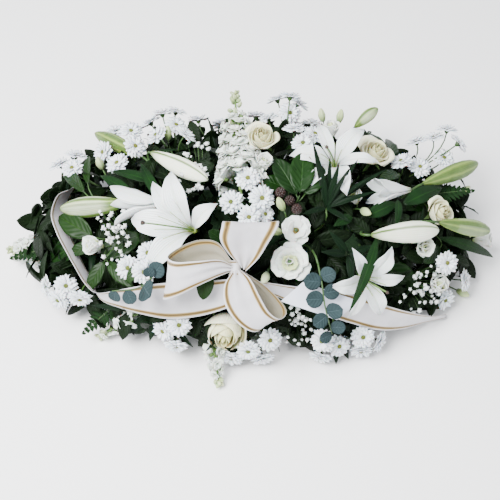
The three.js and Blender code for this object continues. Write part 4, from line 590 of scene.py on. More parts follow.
lisianthusShape = {
    "ahead": {"open": -0.008, "cup": -0.008, "shut": -0.002, "bud": 0.012},
    "depth": {"open": 0.017, "cup": 0.017, "shut": 0.021, "bud": 0.012},
    "reach": {"open": 0.032, "cup": 0.032, "shut": 0.026, "bud": 0.02},
    "cup": [
        {"count": 6, "lean": 22, "bend": 56, "length": 1.4, "width": 1.15, "radius": 0.06, "height": -0.58,
         "cupping": 0.2, "ruffle": 0.1, "peak": 0.74, "blunt": 0.45, "rows": 11, "cols": 9},
        {"count": 5, "lean": 16, "bend": 46, "length": 1.2, "width": 1.0, "radius": 0.04, "height": -0.52,
         "cupping": 0.2, "ruffle": 0.1, "peak": 0.74, "blunt": 0.45, "rows": 10, "cols": 9, "turn": 0.6},
    ],
    "open": [
        {"count": 6, "lean": 28, "bend": 62, "length": 1.36, "width": 1.12, "radius": 0.06, "height": -0.58,
         "cupping": 0.16, "ruffle": 0.12, "peak": 0.74, "blunt": 0.45, "rows": 11, "cols": 9},
        {"count": 5, "lean": 20, "bend": 52, "length": 1.16, "width": 1.0, "radius": 0.04, "height": -0.52,
         "cupping": 0.2, "ruffle": 0.14, "peak": 0.74, "blunt": 0.45, "rows": 10, "cols": 9, "turn": 0.6},
        {"count": 4, "lean": 10, "bend": 36, "length": 0.86, "width": 0.78, "radius": 0.04, "height": -0.45,
         "cupping": 0.3, "ruffle": 0.16, "peak": 0.72, "blunt": 0.5, "rows": 9, "cols": 7, "turn": 1.3},
        {"count": 3, "lean": 4, "bend": 20, "length": 0.66, "width": 0.55, "radius": 0.03, "height": -0.42,
         "cupping": 0.4, "ruffle": 0.18, "peak": 0.7, "blunt": 0.5, "rows": 8, "cols": 7, "turn": 0.4},
    ],
    "shut": [
        {"count": 5, "lean": 8, "bend": 26, "length": 1.25, "width": 0.95, "radius": 0.08, "height": -0.7,
         "cupping": 0.3, "ruffle": 0.08, "peak": 0.66, "blunt": 0.5, "rows": 10, "cols": 7},
        {"count": 4, "lean": 2, "bend": 14, "length": 1.15, "width": 0.8, "radius": 0.05, "height": -0.66,
         "cupping": 0.45, "ruffle": 0.1, "peak": 0.66, "blunt": 0.5, "rows": 9, "cols": 7, "turn": 0.6},
        {"count": 3, "lean": -6, "bend": 8, "length": 1.05, "width": 0.6, "radius": 0.04, "height": -0.62,
         "cupping": 0.5, "ruffle": 0.1, "peak": 0.66, "blunt": 0.5, "rows": 8, "cols": 7, "turn": 0.2},
    ],
    "eye": [[0, -0.36], [0.3, -0.34], [0.46, -0.2], [0.34, -0.12], [0.12, -0.08], [0, -0.1]],
    "heart": [[0, -0.3], [0.07, -0.28], [0.09, -0.1], [0.13, 0.02], [0.07, 0.08], [0, 0.06]],
    "bud": [[0, -0.012], [0.0035, -0.0105], [0.0055, -0.005], [0.0063, 0.0], [0.0048, 0.006],
            [0.0022, 0.0105], [0, 0.012]],
    "calyx": {"count": 5, "lean": 14, "bend": -10, "length": 0.9, "width": 0.12, "radius": 0.06,
              "height": -0.7,
              "cupping": 0.1, "peak": 0.3, "blunt": 0.8, "rows": 5, "cols": 3},
}
for name, heads in lisianthus.items():
    shape = lisianthusShape
    petals, cups, buds, eyes, green, ends, arrive = [], [], [], [], [], [], []
    for kind, u, v, lift, way, *share in heads:
        direction = facing(way)
        place = settled(name, [u, v, lift], direction[0], shape["ahead"][kind])[None]
        size = shape["reach"][kind] * (share[0] if share else 1)
        if kind == "bud":
            buds.append(turned(place, direction, shape["bud"], sides=15, lobes=3, depth=0.1))
            green += blooms(place - direction * 0.002, direction, size * 0.7, [shape["calyx"]])
        else:
            petals += blooms(place, direction, size, shape[kind][:2] + shape[kind][3:])
            cups += blooms(place, direction, size, shape[kind][2:3])
            if kind == "cup":
                eyes.append(turned(place, direction, shape["eye"], size, 10, 5, 0.12))
            green += [turned(place, direction, shape["heart"], size, 8)]
            green += blooms(place, direction, size, [shape["calyx"]])
        ends.append(place[0] - direction[0] * shape["depth"][kind])
        arrive.append(direction[0])
    addPiece(name + ".petals", petals, finishes["lisianthus"], [name], 0.0005)
    if cups:
        addPiece(name + ".cups", cups, finishes["cup"], thick=0.0005)
    if eyes:
        addPiece(name + ".eyes", eyes, finishes["eye"])
    if buds:
        addPiece(name + ".buds", buds, finishes["green bud"])
    green += stems(np.array(ends), np.array(arrive), 0.002, 0.0011)
    addPiece(name + ".stems", green, finishes["stem"])
print("lisianthus made")

roses = {
    "rose_1": {"at": [226, 333, 4], "face": [-0.1, -0.62, 0.78], "size": 1.5, "open": 0.34},
    "rose_2": {"at": [262, 137, 4], "face": [0, 0.5, 0.85], "size": 1.0, "open": 0.8},
    "rose_3": {"at": [376, 152, 4], "face": [0.25, 0.55, 0.8], "size": 1.0, "open": 1.0},
    "rose_4": {"at": [441, 212, 4], "face": [0.55, 0.15, 0.8], "size": 0.9, "open": 0.8},
}
roseShape = {"petals": 15, "outer": 0.026, "low": -0.022, "rows": 17, "cols": 15}


# Rose petals wrap the bud by the golden angle. Each climbs as a quarter sine, and the outer ones roll over:
# the radius gains s^5 and the height loses it, and the corners of the rim drop with t^2.
def rosePetals(place, direction, size, wide):
    k = np.arange(roseShape["petals"])
    share = k / k[-1]
    s = np.linspace(0, 1, roseShape["rows"])[None, :, None]
    t = np.linspace(-1, 1, roseShape["cols"])[None, None, :]
    share3, turn = share[:, None, None], (k * goldenAngle)[:, None, None]
    radius = roseShape["outer"] * size * (0.12 + 0.80 * share3**0.9)
    height = 0.040 * size * (1 - 0.17 * share3)
    opened = wide * share3**1.6
    r = radius * (0.22 + 0.78 * np.sin(np.pi / 2 * s**0.75)) * (1 + 0.40 * opened * s**5)
    r = r * (1 - 0.42 * (1 - opened) * s**2.5 + 0.10 * t) + 0.0007 * np.sin(4 * t + turn) * s
    span = (1.9 - 0.8 * share3) * (0.55 + 0.45 * np.sin(np.pi * s**0.8) ** 0.5)
    angle = turn + t * span
    z = roseShape["low"] * size + height * (s - 0.34 * opened * s**6 - 0.16 * t**2 * s**2)
    x, y = crosswise(direction)
    points = place + x * (r * np.cos(angle))[..., None] + y * (r * np.sin(angle))[...,
        None] + direction * z[..., None]
    return sheets(points, 0.15 + 0.7 * (1 - share))


for name, rose in roses.items():
    direction = facing(rose["face"])
    place = settled(name, rose["at"], direction[0], 0.018)[None]
    addPiece(name + ".petals", [rosePetals(place, direction, rose["size"], rose["open"])], finishes["rose"],
             [name], 0.0006)
    hip = turned(place - direction * 0.022, direction, [[0, -0.007], [0.004, -0.006], [0.006, -0.002],
                                                        [0.005, 0.003], [0, 0.005]], sides=10)
    sepals = {"count": 5, "lean": 40, "bend": 60, "length": 1.0, "width": 0.3, "radius": 0.2, "height": 0.0,
              "cupping": 0.1, "peak": 0.3, "blunt": 0.9, "rows": 7, "cols": 3}
    green = [hip] + blooms(place - direction * 0.022, direction, 0.024,
                           [sepals]) + stems(place - direction * 0.026, direction, 0.0026)
    addPiece(name + ".stems", green, finishes["stem"])

stocks = {
    "stock_top": {
        "root": [241, 190, -14], "tip": [235, 96, 12], "florets": 54, "spread": 0.031, "from": 0.0,
        "to": 0.66, "size": 0.0185, "buds": [[0.64, 0.86, 8, 0.011, 1.25], [0.91, 1.02, 16, 0.006, 0.95]],
        "stem": 0.0036},
    "stock_left": {
        "root": [56, 251, -80], "tip": [10, 250, -20], "florets": 24, "spread": 0.024, "from": 0.05,
        "to": 0.8, "size": 0.017},
    "stock_front": {
        "root": [213, 345, -10], "tip": [219, 384, -8], "florets": 9, "spread": 0.011, "from": 0.0,
        "to": 0.8},
    "stock_front_left": {
        "root": [140, 312, -16], "tip": [100, 336, -6], "florets": 11, "spread": 0.012, "from": 0.0,
        "to": 0.85},
}
floret = [
    {"count": 5, "lean": 52, "bend": 40, "length": 1.0, "width": 0.86, "radius": 0.05, "height": -0.25,
     "cupping": 0.1, "ruffle": 0.16, "peak": 0.72, "blunt": 0.45, "rows": 5, "cols": 5, "jitter": 0.15},
    {"count": 4, "lean": 28, "bend": 40, "length": 0.8, "width": 0.7, "radius": 0.03, "height": -0.2,
     "cupping": 0.15, "ruffle": 0.2, "peak": 0.72, "blunt": 0.45, "rows": 5, "cols": 5, "turn": 0.6,
     "jitter": 0.2},
]
stockLowest = 0.012
budShape = [[0, -0.0045], [0.0024, -0.003], [0.0034, 0.0005], [0.0024, 0.0045], [0, 0.0065]]
for name, stock in stocks.items():
    start, end = seat(stock["root"]), seat(stock["tip"])
    spike = unit(end - start)
    i = np.arange(stock["florets"])
    t = (stock["from"] + (stock["to"] - stock["from"]) * i / i[-1])[:, None]
    x, y = crosswise(spike)
    out = x * np.cos(spiral * i)[:, None] + y * np.sin(spiral * i)[:, None]
    ways = unit(out + 0.4 * spike)
    sizes = stock.get("size", 0.0135) * (1.1 - 0.5 * i / i[-1])
    places = start + (end - start) * t + ways * stock["spread"] * (1.1 - 0.6 * t)
    places[:, 2] = np.maximum(places[:, 2], stockLowest)
    addPiece(name + ".petals", blooms(places, ways, sizes, floret), finishes["stock"],
             [name], 0.0005)
    buds = []
    for low, high, count, out, size in stock.get("buds", [[0.8, 1.0, 9, 0.004, 1.0]]):
        j = np.arange(count)[:, None]
        budWays = unit(x * np.cos(spiral * j) + y * np.sin(spiral * j) + 0.9 * spike)
        at = start + (end - start) * np.linspace(low, high, count)[:, None] + budWays * out
        buds.append(turned(at, budWays, budShape, np.linspace(1.1, 0.85, count) * size, 10, 4, 0.08))
    calyxes = turned(places - ways * 0.004, ways, [[0, -0.006], [0.0022, -0.005], [0.003, 0.0],
                                                   [0.002, 0.003], [0, 0.003]], sides=6)
    path = bezier(start, (start + end) / 2, end, 10)
    thickness = stock.get("stem", 0.0022)
    addPiece(name + ".buds", buds, finishes["green bud"])
    addPiece(name + ".stems", [tubes(path, np.linspace(thickness, thickness * 0.5, 10)),
                               calyxes] + stems(start, spike), finishes["pale stem"])
print("roses and stock made")

lilyRib = np.array([[3, -44, 0], [12, -24, 6.5], [34, -4, 18.5], [56, 3, 16.5], [71, 0, 9.5], [80, -4, 3.6],
                    [85, -8, 0]]) / 1000
lilies = {
    "lily_front": {
        "at": [181, 227, 20], "face": [-0.4, 0.1, 0.9], "size": 1.0, "style": [-0.95, 0.1, 0.35],
        "broad": [[33, 0.7], [107, 1.02], [170, 1.04], [228, 1.0]], "narrow": [[130, 1.04]]},
    "lily_back": {
        "at": [334, 156, 14], "face": [-0.1, 0.45, 0.9], "size": 0.8, "style": [-0.3, 0.2, 0.9],
        "broad": [[50, 1.0], [172, 1.0], [285, 1.0]], "narrow": [[110, 1.0], [235, 1.0], [350, 1.0]]},
    "lily_right": {
        "at": [370, 283, 22], "face": [0.35, -0.3, 0.85], "size": 0.72, "style": [0.5, -0.3, 0.8],
        "broad": [[58, 1.0], [178, 1.0], [298, 1.0]], "narrow": [[122, 1.0], [245, 1.0], [0, 1.0]]},
}


# Lily petals: the rib and half width run smoothly through the named points; the edges ruffle and the
# midrib sinks as a narrow bell curve.
def lilyPetals(place, direction, petals, size, wide=1.0, lower=0.0):
    angles, reach = np.array(petals, float).T
    a = np.radians(angles)[:, None]
    want = np.cos(a) * rightward + np.sin(a) * upward
    out = unit(want - direction * (want * direction).sum(1, keepdims=True))
    rows, cols = 30, 15
    rib = smoothed(lilyRib, rows)[None] * size * reach[:, None, None]
    t = np.linspace(-1, 1, cols)
    slope = unit(np.gradient(rib[..., :2], axis=1))
    side = np.cross(out, np.broadcast_to(direction, out.shape))
    middle = place + out[:, None] * rib[..., :1] + direction * (rib[..., 1:2] - lower)
    middle = middle - direction * 0.044 * size * (1 - reach)[:, None, None]
    normal = direction * slope[..., :1] - out[:, None] * slope[..., 1:]
    half = np.maximum(rib[..., 2] * wide, 0.0005)
    s = np.linspace(0, 1, rows)[None, :, None]
    phase = draw.uniform(0, anyAngle, (len(angles), 1, 1))
    rise = 0.34 * t**2 * (1 - 0.6 * s) - 0.14 * np.exp(-((t / 0.14) ** 2)) * np.sin(np.pi * s)
    rise = rise + (0.15 * np.sin(2 * np.pi * 3.2 * s + phase + 1.2 * t) * np.abs(t) ** 2.2
                   * np.sin(np.pi * s**0.8))
    return (middle[:, :, None] + side[:, None, None] * (half[..., None] * t)[..., None]
            + normal[:, :, None] * (half[..., None] * rise)[..., None])


bloomEnds = {}
for name, lily in lilies.items():
    direction = facing(lily["face"])
    place = seat(lily["at"])
    size = lily["size"]
    petals = [sheets(lilyPetals(place, direction, lily["broad"], size)),
              sheets(lilyPetals(place, direction, lily["narrow"], size, 0.66, 0.002))]
    addPiece(name + ".petals", petals, finishes["lily"], [name + "_petals"], 0.0009)
    spin = np.radians([20, 80, 140, 200, 260, 320]) + 0.2
    x, y = crosswise(direction)
    out = x * np.cos(spin)[:, None] + y * np.sin(spin)[:, None]
    root = place - direction * 0.036 * size + out * 0.003
    lean = facing(lily["style"])
    tipPlace = place + direction * 0.004 * size + out * 0.02 * size + lean * 0.02 * size
    filament = bezier(root, place - direction * 0.008 + out * 0.005, tipPlace, 10)
    tipEnd = place + lean * 0.056 * size
    style = bezier(place - direction * 0.04 * size, place - direction * 0.004 * size, tipEnd, 14)
    knobShape = [[0, -0.003], [0.0022, -0.002], [0.0034, 0.001], [0.0026, 0.0035], [0, 0.003]]
    addPiece(name + ".stigma", [turned(tipEnd, unit(tipEnd - place), knobShape, size, 12, 3, 0.2)],
             finishes["stigma"])
    throatShape = [[0, 0], [0.003, 0.001], [0.0045, 0.006], [0.0035, 0.010], [0, 0.009]]
    throat = turned(place - direction * 0.049 * size, direction, throatShape, size, 10)
    addPiece(name + ".heart", [tubes(filament, 0.0005), throat], finishes["heart"])
    addPiece(name + ".style", [tubes(style, np.linspace(0.0015, 0.0012, 14))], finishes["pale stem"])
    bloomEnds[name] = (place - direction * 0.0496 * size, direction)

trumpets = {
    "lily_half_left": {"from": [163, 203, 4], "to": [116, 200, 6], "reach": 0.076},
    "lily_half_right": {"from": [410, 190, 0], "to": [362, 190, 6], "reach": 0.07},
}
trumpetRings = [
    {"count": 3, "lean": 6, "bend": 20, "power": 2.0, "length": 1.02, "width": 0.34, "radius": 0.05,
     "height": 0.0,
     "cupping": 0.4, "ruffle": 0.05, "peak": 0.6, "blunt": 0.7, "rows": 18, "cols": 9},
    {"count": 3, "lean": 4, "bend": 16, "power": 2.0, "length": 1.0, "width": 0.27, "radius": 0.04,
     "height": 0.0,
     "cupping": 0.4, "ruffle": 0.04, "peak": 0.6, "blunt": 0.7, "rows": 18, "cols": 9, "turn": 1.05},
]
for name, trumpet in trumpets.items():
    start = seat(trumpet["from"])
    direction = unit(seat(trumpet["to"]) - start)
    addPiece(name + ".petals", blooms(start, direction, trumpet["reach"], trumpetRings), finishes["lily"],
             [name + "_petals"], 0.0008)
    bloomEnds[name] = (start - direction * 0.0006, direction)

lilyStems = {
    "lily_stem_left": {
        "blooms": ["lily_front", "lily_half_left"],
        "buds": [
            [[143, 157, 0], [95, 133, 10], 13, 0.0], [[150, 152, 6], [208, 180, 8], 14, 0.9],
            [[127, 203, 4], [60, 209, 10], 16, 0.28]]},
    "lily_stem_right": {
        "blooms": ["lily_right", "lily_half_right"],
        "buds": [
            [[370, 235, 4], [439, 230, 10], 16, 1.0], [[438, 222, 0], [490, 231, 4], 13, 0.1],
            [[422, 184, 2], [478, 163, 10], 14, 0.0]]},
    "lily_stem_back": {"blooms": ["lily_back"], "buds": [[[354, 128, 0], [378, 108, 6], 10, 0.2]]},
}
lilyLeaves = {
    "lily_stem_left": [
        [[152, 182, -4], [112, 172, 2], 17], [[132, 194, -6], [101, 176, 0], 17],
        [[160, 200, -4], [141, 164, 0], 16], [[150, 196, -8], [164, 214, 0], 15],
        [[150, 158, -8], [175, 150, 0], 13]],
    "lily_stem_right": [
        [[440, 238, -4], [492, 257, 4], 18], [[377, 238, 18], [350, 310, 42], 17],
        [[404, 204, -2], [441, 188, 4], 26], [[368, 216, -8], [397, 203, 0], 22],
        [[398, 200, 2], [396, 226, 10], 13], [[452, 172, -8], [466, 190, 0], 22],
        [[352, 216, -12], [334, 226, -6], 16]],
    "lily_stem_back": [[[322, 140, -8], [300, 126, 0], 14], [[360, 132, -6], [388, 150, 0], 16]],
}


# Leaves given by root, tip and width in millimetres: bent so that the tip still lands near its place.
def leavesBetween(leaves, bend=0.5, **shape):
    root, tip = seat([leaf[0] for leaf in leaves]), seat([leaf[1] for leaf in leaves])
    chord = tip - root
    normal = outward((root + tip) / 2)
    normal = unit(normal - unit(chord) * (normal * unit(chord)).sum(1, keepdims=True))
    along = unit(chord) * math.cos(bend / 2) + normal * math.sin(bend / 2)
    length = np.linalg.norm(chord, axis=1) * 1.04
    return blade(root, along, normal, length, np.array([leaf[2] for leaf in leaves]) / 1000, bend, **shape)


# Lily buds: green or white with green ribs by the per-point tone, three deep seams along them.
def budFinish():
    finish = Finish("lilyBud", {"Subsurface Weight": 0.1, "Subsurface Scale": 0.003})
    across, along = finish.sheetPlace()
    mottleAndShade = finish.noise(70.0)
    white = finish.mix((mottleAndShade * 1.6 - 0.4).held(), colour("#eaeedd"), colour("#dbe2c4"))
    green = finish.mix((mottleAndShade * 1.6 - 0.4).held(), colour("#56732a"), colour("#3f5a1e"))
    seam = ((across * 18.85).sine() * 0.5 + 0.5) ** 14.0
    foot = ((0.3 - along) * 3.2).held()
    ripe = (finish.toneAndShade() * 1.4 - seam * 1.2 - foot - (along - 0.5).size() ** 3.0 * 5.0).held()
    pale = ((across * 37.7 + mottleAndShade * 1.5).sine() * 0.5 + 0.5) ** 3.0
    green = finish.mix(pale * 0.5, green, colour("#9db357"))
    base = finish.mix(ripe, green, white)
    streak = (across * 188.0 + mottleAndShade * 4.0).sine()
    return finish.feed({"Base Color": base, "Roughness": (0.4 + mottleAndShade * 0.2).held(),
                        "Normal": finish.bump(streak * 0.4 + mottleAndShade, 0.0004)})


finishes["bud"] = budFinish()
budProfile = np.array([[0, 0], [0.2, 0.03], [0.5, 0.14], [0.76, 0.3], [0.94, 0.46], [1.0, 0.6],
                       [0.95, 0.72], [0.76, 0.84], [0.45, 0.94], [0.2, 0.985], [0, 1.0]])
for name, lilyStem in lilyStems.items():
    buds, ends, arrive = [], [], []
    for bloom in lilyStem["blooms"]:
        ends.append(bloomEnds[bloom][0][0])
        arrive.append(bloomEnds[bloom][1][0])
    for start, end, radius, ripe in lilyStem["buds"]:
        roots = seat([[start[0], start[1], start[2] + s] for s in slides])
        tips = seat([[end[0], end[1], end[2] + s] for s in slides])
        i = nearestWay(name, tips)
        direction = unit(tips[i] - roots[i])[None]
        length = np.linalg.norm(tips[i] - roots[i])
        profile = np.stack([budProfile[:, 0] * radius / 1000, budProfile[:, 1] * length], 1)
        buds.append(turned(roots[i][None], direction, profile, sides=30, lobes=3, depth=0.09, toneAndShade=ripe))
        ends.append(roots[i] + direction[0] * 0.004)
        arrive.append(direction[0])
    addPiece(name + ".buds", buds, finishes["bud"], [name])
    blades = leavesBetween(lilyLeaves[name], 0.6, fold=0.2, peak=0.4, blunt=0.85, rows=14, cols=7,
                           ruffle=0.04)
    addPiece(name + ".leaves", [sheets(blades)], finishes["lily leaf"], thick=0.0005)
    addPiece(name + ".stems", stems(np.array(ends), np.array(arrive), 0.0032, 0.0019), finishes["stem"])
print("lilies made")

leafy = {
    "salal_top": {
        "finish": "salal", "slot": "dark_leaf",
        "leaves": [
            [[296, 194, -10], [275, 160, 2], 36], [[300, 192, -6], [303, 154, 4], 38],
            [[305, 194, -10], [322, 167, 2], 34], [[284, 188, -16], [262, 180, -8], 26],
            [[222, 240, -14], [209, 231, -2], 18]]},
    "salal_left": {
        "finish": "fresh", "slot": "dark_leaf",
        "leaves": [
            [[92, 236, -6], [60, 217, 4], 34], [[104, 262, -6], [89, 290, 4], 22],
            [[108, 262, -8], [133, 286, 0], 22], [[94, 244, -14], [70, 254, -6], 20],
            [[84, 192, -10], [64, 168, 0], 20], [[88, 184, -8], [89, 157, 2], 14]]},
    "salal_right": {
        "finish": "salal", "slot": "dark_leaf",
        "leaves": [
            [[392, 158, -10], [388, 140, 2], 24], [[440, 248, -14], [424, 262, -4], 22],
            [[398, 174, -12], [380, 180, -2], 20], [[462, 206, -8], [478, 214, 0], 18]]},
    "ruscus_right": {
        "finish": "palm", "slot": "palm_leaf", "from": [348, 254, -12],
        "leaves": [
            [[330, 232, 0], 12], [[372, 246, 0], 12], [[352, 286, 2], 12], [[369, 276, 0], 12],
            [[322, 252, -2], 12]]},
    "ruscus_front": {
        "finish": "palm", "slot": "palm_leaf", "from": [334, 326, -24],
        "leaves": [[[336, 363, -6], 17], [[348, 358, -6], 17], [[310, 336, -6], 15], [[382, 326, -6], 14]]},
    "ruscus_front_left": {
        "finish": "palm", "slot": "palm_leaf", "from": [160, 306, -26],
        "leaves": [[[124, 335, -6], 17], [[150, 340, -6], 15], [[192, 346, -6], 14], [[92, 305, -8], 14]]},
    "areca_palm": {
        "finish": "palm", "slot": "palm_leaf", "from": [326, 208, -14],
        "leaves": [
            [[313, 143, 24], 10], [[321, 166, 30], 9], [[339, 164, 32], 10], [[357, 161, 28], 10],
            [[385, 170, 22], 9], [[374, 192, 18], 9], [[303, 214, 4], 9], [[350, 222, 4], 9],
            [[330, 158, 30], 8], [[348, 170, 30], 8], [[368, 178, 22], 8]]},
}
for name, bunch in leafy.items():
    if "from" in bunch:
        leaves = [[bunch["from"], *leaf] for leaf in bunch["leaves"]]
        shape = {"bend": 0.35, "fold": 0.25, "peak": 0.42, "blunt": 0.9, "stem": 0.15, "rows": 12, "cols": 5}
    else:
        leaves = bunch["leaves"]
        shape = {"bend": 0.4, "fold": 0.12, "cupping": 0.1, "peak": 0.46, "blunt": 0.62, "stem": 0.12,
                 "rows": 14, "cols": 9, "ruffle": 0.06}
    addPiece(name + ".leaves", [sheets(leavesBetween(leaves, **shape))], finishes[bunch["finish"]],
             [name], 0.0006)
    roots = seat([leaf[0] for leaf in leaves])
    ends = roots[:1] if "from" in bunch else roots
    ways = unit(seat([leaf[1] for leaf in leaves]) - roots)[: len(ends)]
    addPiece(name + ".stems", stems(ends, ways, 0.0017, 0.0009), finishes["stem"])

freshLeaves = [[[208, 270, 20], [203, 299, 24], 25], [[136, 268, 6], [150, 286, 14], 20], [[140, 262, 4],
    [128, 283, 12], 16]]
blades = leavesBetween(freshLeaves, 0.5, fold=0.1, cupping=0.1, peak=0.46, blunt=0.62, stem=0.12, rows=14,
                       cols=9, ruffle=0.05)
addPiece("fresh_leaves", [sheets(blades)], finishes["fresh"], thick=0.0006)

eucalyptus = {
    "eucalyptus_left": {
        "path": [[152, 262, -12], [152, 277, 20], [138, 288, 28], [112, 291, 27]],
        "leaves": [
            [115, 294, 26, 20], [129, 297, 28, 22], [144, 287, 30, 34], [148, 271, 30, 18],
            [160, 266, 30, 26]]},
    "eucalyptus_right": {
        "path": [[318, 264, 8], [322, 284, 24], [325, 306, 26], [332, 334, 16]],
        "leaves": [
            [312, 282, 26, 26], [326, 276, 26, 24], [334, 292, 28, 24], [316, 300, 30, 26],
            [331, 312, 30, 26], [320, 322, 28, 24], [338, 328, 24, 22], [326, 338, 20, 20]]},
}
for name, spray in eucalyptus.items():
    path = smoothed(seat(spray["path"]), 24)
    middles = seat([leaf[:3] for leaf in spray["leaves"]])
    sizes = np.array([leaf[3] for leaf in spray["leaves"]]) / 1000
    roots = path[np.linalg.norm(path[None] - middles[:, None], axis=2).argmin(1)]
    along = unit(middles - roots + upward * 0.001)
    discs = blade(roots, along, outward(middles) + 0.3 * toward, sizes * 1.05, sizes, 0.25, cupping=0.12,
                  peak=0.52, blunt=0.5, stem=0.1, rows=10, cols=9, ruffle=0.03)
    addPiece(name + ".leaves", [sheets(discs)], finishes["silver"], [name], 0.0006)
    addPiece(name + ".stems", [tubes(path[None], np.linspace(0.0015, 0.0009, 24))] + stems(path[:1],
        unit(path[1:2] - path[:1]), 0.0016), finishes["stem"])


# A fern frond: leaflets in pairs along an arched rib, each with a toothed edge, shorter towards the tip.
def frondPatches(root, tip, face, width, pairs=15):
    chord = tip - root
    length = np.linalg.norm(chord)
    along = chord / length
    normal = unit(face - along * (face @ along))
    side = np.cross(along, normal)
    t = np.linspace(0, 1, 24)[:, None]
    rib = root + chord * t + normal * 0.2 * length * t * (1 - t)
    at = np.linspace(0.06, 0.985, pairs)
    half = width / 2 * np.minimum(1, (1.06 - at) * 1.7) * np.minimum(1, 0.35 + at * 2.4)
    base = root + chord * at[:, None] + normal * (0.2 * length * at * (1 - at))[:, None]
    patches = []
    for s in (-1, 1):
        way = unit(side * s * 0.86 + along * 0.5 + normal * 0.08)
        ways = np.repeat(way[None], pairs, 0) + draw.normal(0, 0.05, (pairs, 3))
        faces = np.repeat(normal[None], pairs, 0) + draw.normal(0, 0.12, (pairs, 3))
        leaflets = blade(base, ways, faces, half * 1.08, np.maximum(length / pairs * 1.15, half * 0.3),
                         0.35, cupping=-0.1,
                         peak=0.34, blunt=0.75, stem=0.7, teeth=0.42, teethCount=6, rows=19, cols=5)
        patches.append(sheets(leaflets, draw.uniform(0, 1) * 0.6 + draw.uniform(0, 0.4, pairs)))
    return patches, tubes(rib[None], np.linspace(0.0012, 0.0005, 24), 5)


fronds = {"fern_left": [186, 6, 22, 52], "fern_front": [240, 4, 14, 50], "fern_right": [9, 30, 30, 56],
          "fern_rear": [58, 10, 30, 56]}
for name, (bearing, height, reach, width) in fronds.items():
    ways = [(wide, turn, lift) for wide in (1, 0.85, 0.7) for turn in (0, 4, -4, 8, -8, 12,
        -12) for lift in (0, 5, 10, -4)]
    tips = onDome([[bearing + turn, height + lift, reach] for wide, turn, lift in ways])
    i = nearestWay(name, tips)
    tip = tips[i]
    root = np.array([tip[0] * 0.66, tip[1] * 0.6, max(0.062, tip[2] * 0.62 + 0.03)])
    face = unit(outward(tip[None])[0] + [0, 0, 0.9])
    leaflets, rib = frondPatches(root, tip, face, width / 1000 * ways[i][0])
    addPiece(name + ".leaves", leaflets, finishes["fern"], [name], 0.0005)
    addPiece(name + ".stems", [rib] + stems(root[None], unit(tip - root)[None], 0.0017), finishes["stem"])
print("foliage made")

gypsophila = {
    "gypsophila_left": {"middle": [113, 232, 6], "span": [28, 34], "heads": 46},
    "gypsophila_top": {"middle": [196, 168, 4], "span": [20, 30], "heads": 52},
    "gypsophila_front": {"middle": [298, 320, -2], "span": [18, 27], "heads": 50},
    "gypsophila_right": {"middle": [424, 290, 2], "span": [30, 26], "heads": 60},
}
tinyBloom = [[0, -0.9], [0.5, -0.6], [0.95, 0.0], [0.7, 0.5], [0.25, 0.62], [0, 0.45]]
for name, cloud in gypsophila.items():
    n = cloud["heads"]
    i = np.arange(n)
    r = np.sqrt((i + 0.5) / n)
    at = np.stack([cloud["middle"][0] + cloud["span"][0] * r * np.cos(spiral * i),
                   cloud["middle"][1] + cloud["span"][1] * r * np.sin(spiral * i),
                   cloud["middle"][2] + draw.uniform(-14, 6, n)], 1)
    at[:, :2] = 0.5 * at[:, :2] + 0.5 * at[i // 4 * 4, :2] + draw.normal(0, 2.6, (n, 2))
    places = seat(at)
    ways = unit(outward(places) + draw.normal(0, 0.35, (n, 3)))
    sizes = draw.uniform(0.0020, 0.0044, n)
    addPiece(name + ".blooms", [turned(places, ways, tinyBloom, sizes, 10, 5, 0.28)], finishes["baby"],
             [name])
    middle = places.mean(0, keepdims=True)
    forks = middle + (places - middle) * 0.35 - outward(places) * 0.035
    control = (forks + places) / 2 - outward(places) * 0.006
    twigs = tubes(bezier(forks, control, places - ways * 0.002, 5), 0.00035, 4)
    addPiece(name + ".stems", [twigs] + stems(middle - outward(middle) * 0.03, outward(middle), 0.0012),
             finishes["stem"])

berryPlaces = seat([[280, 195, 0], [296, 211, 0], [289, 203, -8]])
berryWays = outward(berryPlaces)
drupelet = {"count": 44, "core": 0.0062, "profile": np.array([[0, -1], [0.75, -0.66], [1, 0], [0.75, 0.66],
    [0, 1]]) * 0.0022}
number = np.arange(drupelet["count"])
high = 1 - 2 * (number + 0.5) / drupelet["count"]
flat = np.sqrt(1 - high**2)
ball = np.stack([flat * np.cos(goldenAngle * number), flat * np.sin(goldenAngle * number), high], 1)
berryMiddles = berryPlaces + berryWays * 0.008
drupeletPlaces = (berryMiddles[:, None] + ball * drupelet["core"]).reshape(-1, 3)
drupeletWays = np.tile(ball, (len(berryPlaces), 1))
core = turned(berryMiddles, berryWays, np.array([[0, -1], [0.7, -0.7], [1, 0], [0.7, 0.7],
                                                 [0, 1]]) * drupelet["core"], 1.0, 12)
addPiece("berries.fruit", [core, turned(drupeletPlaces, drupeletWays, drupelet["profile"], 1.0, 8)],
         finishes["berry"], ["berries"])
addPiece("berries.stems", stems(berryPlaces, berryWays, 0.0015, 0.001), finishes["stem"])
print("gypsophila and berries made")

# Leaves that fill the mass between the blooms.
under = {"leaves": 900, "sprigs": 260, "lift": [-72, -14], "skirt": 340, "skirtLift": [-46, -4]}


def domeScatter(n, lift, lowest=4.0):  # places spread evenly over the dome, at a random depth under it
    height = np.degrees(np.arcsin(draw.uniform(math.sin(math.radians(lowest)), 0.999, n)))
    return onDome(np.stack([draw.uniform(0, 360, n), height, draw.uniform(*lift, n)], 1))


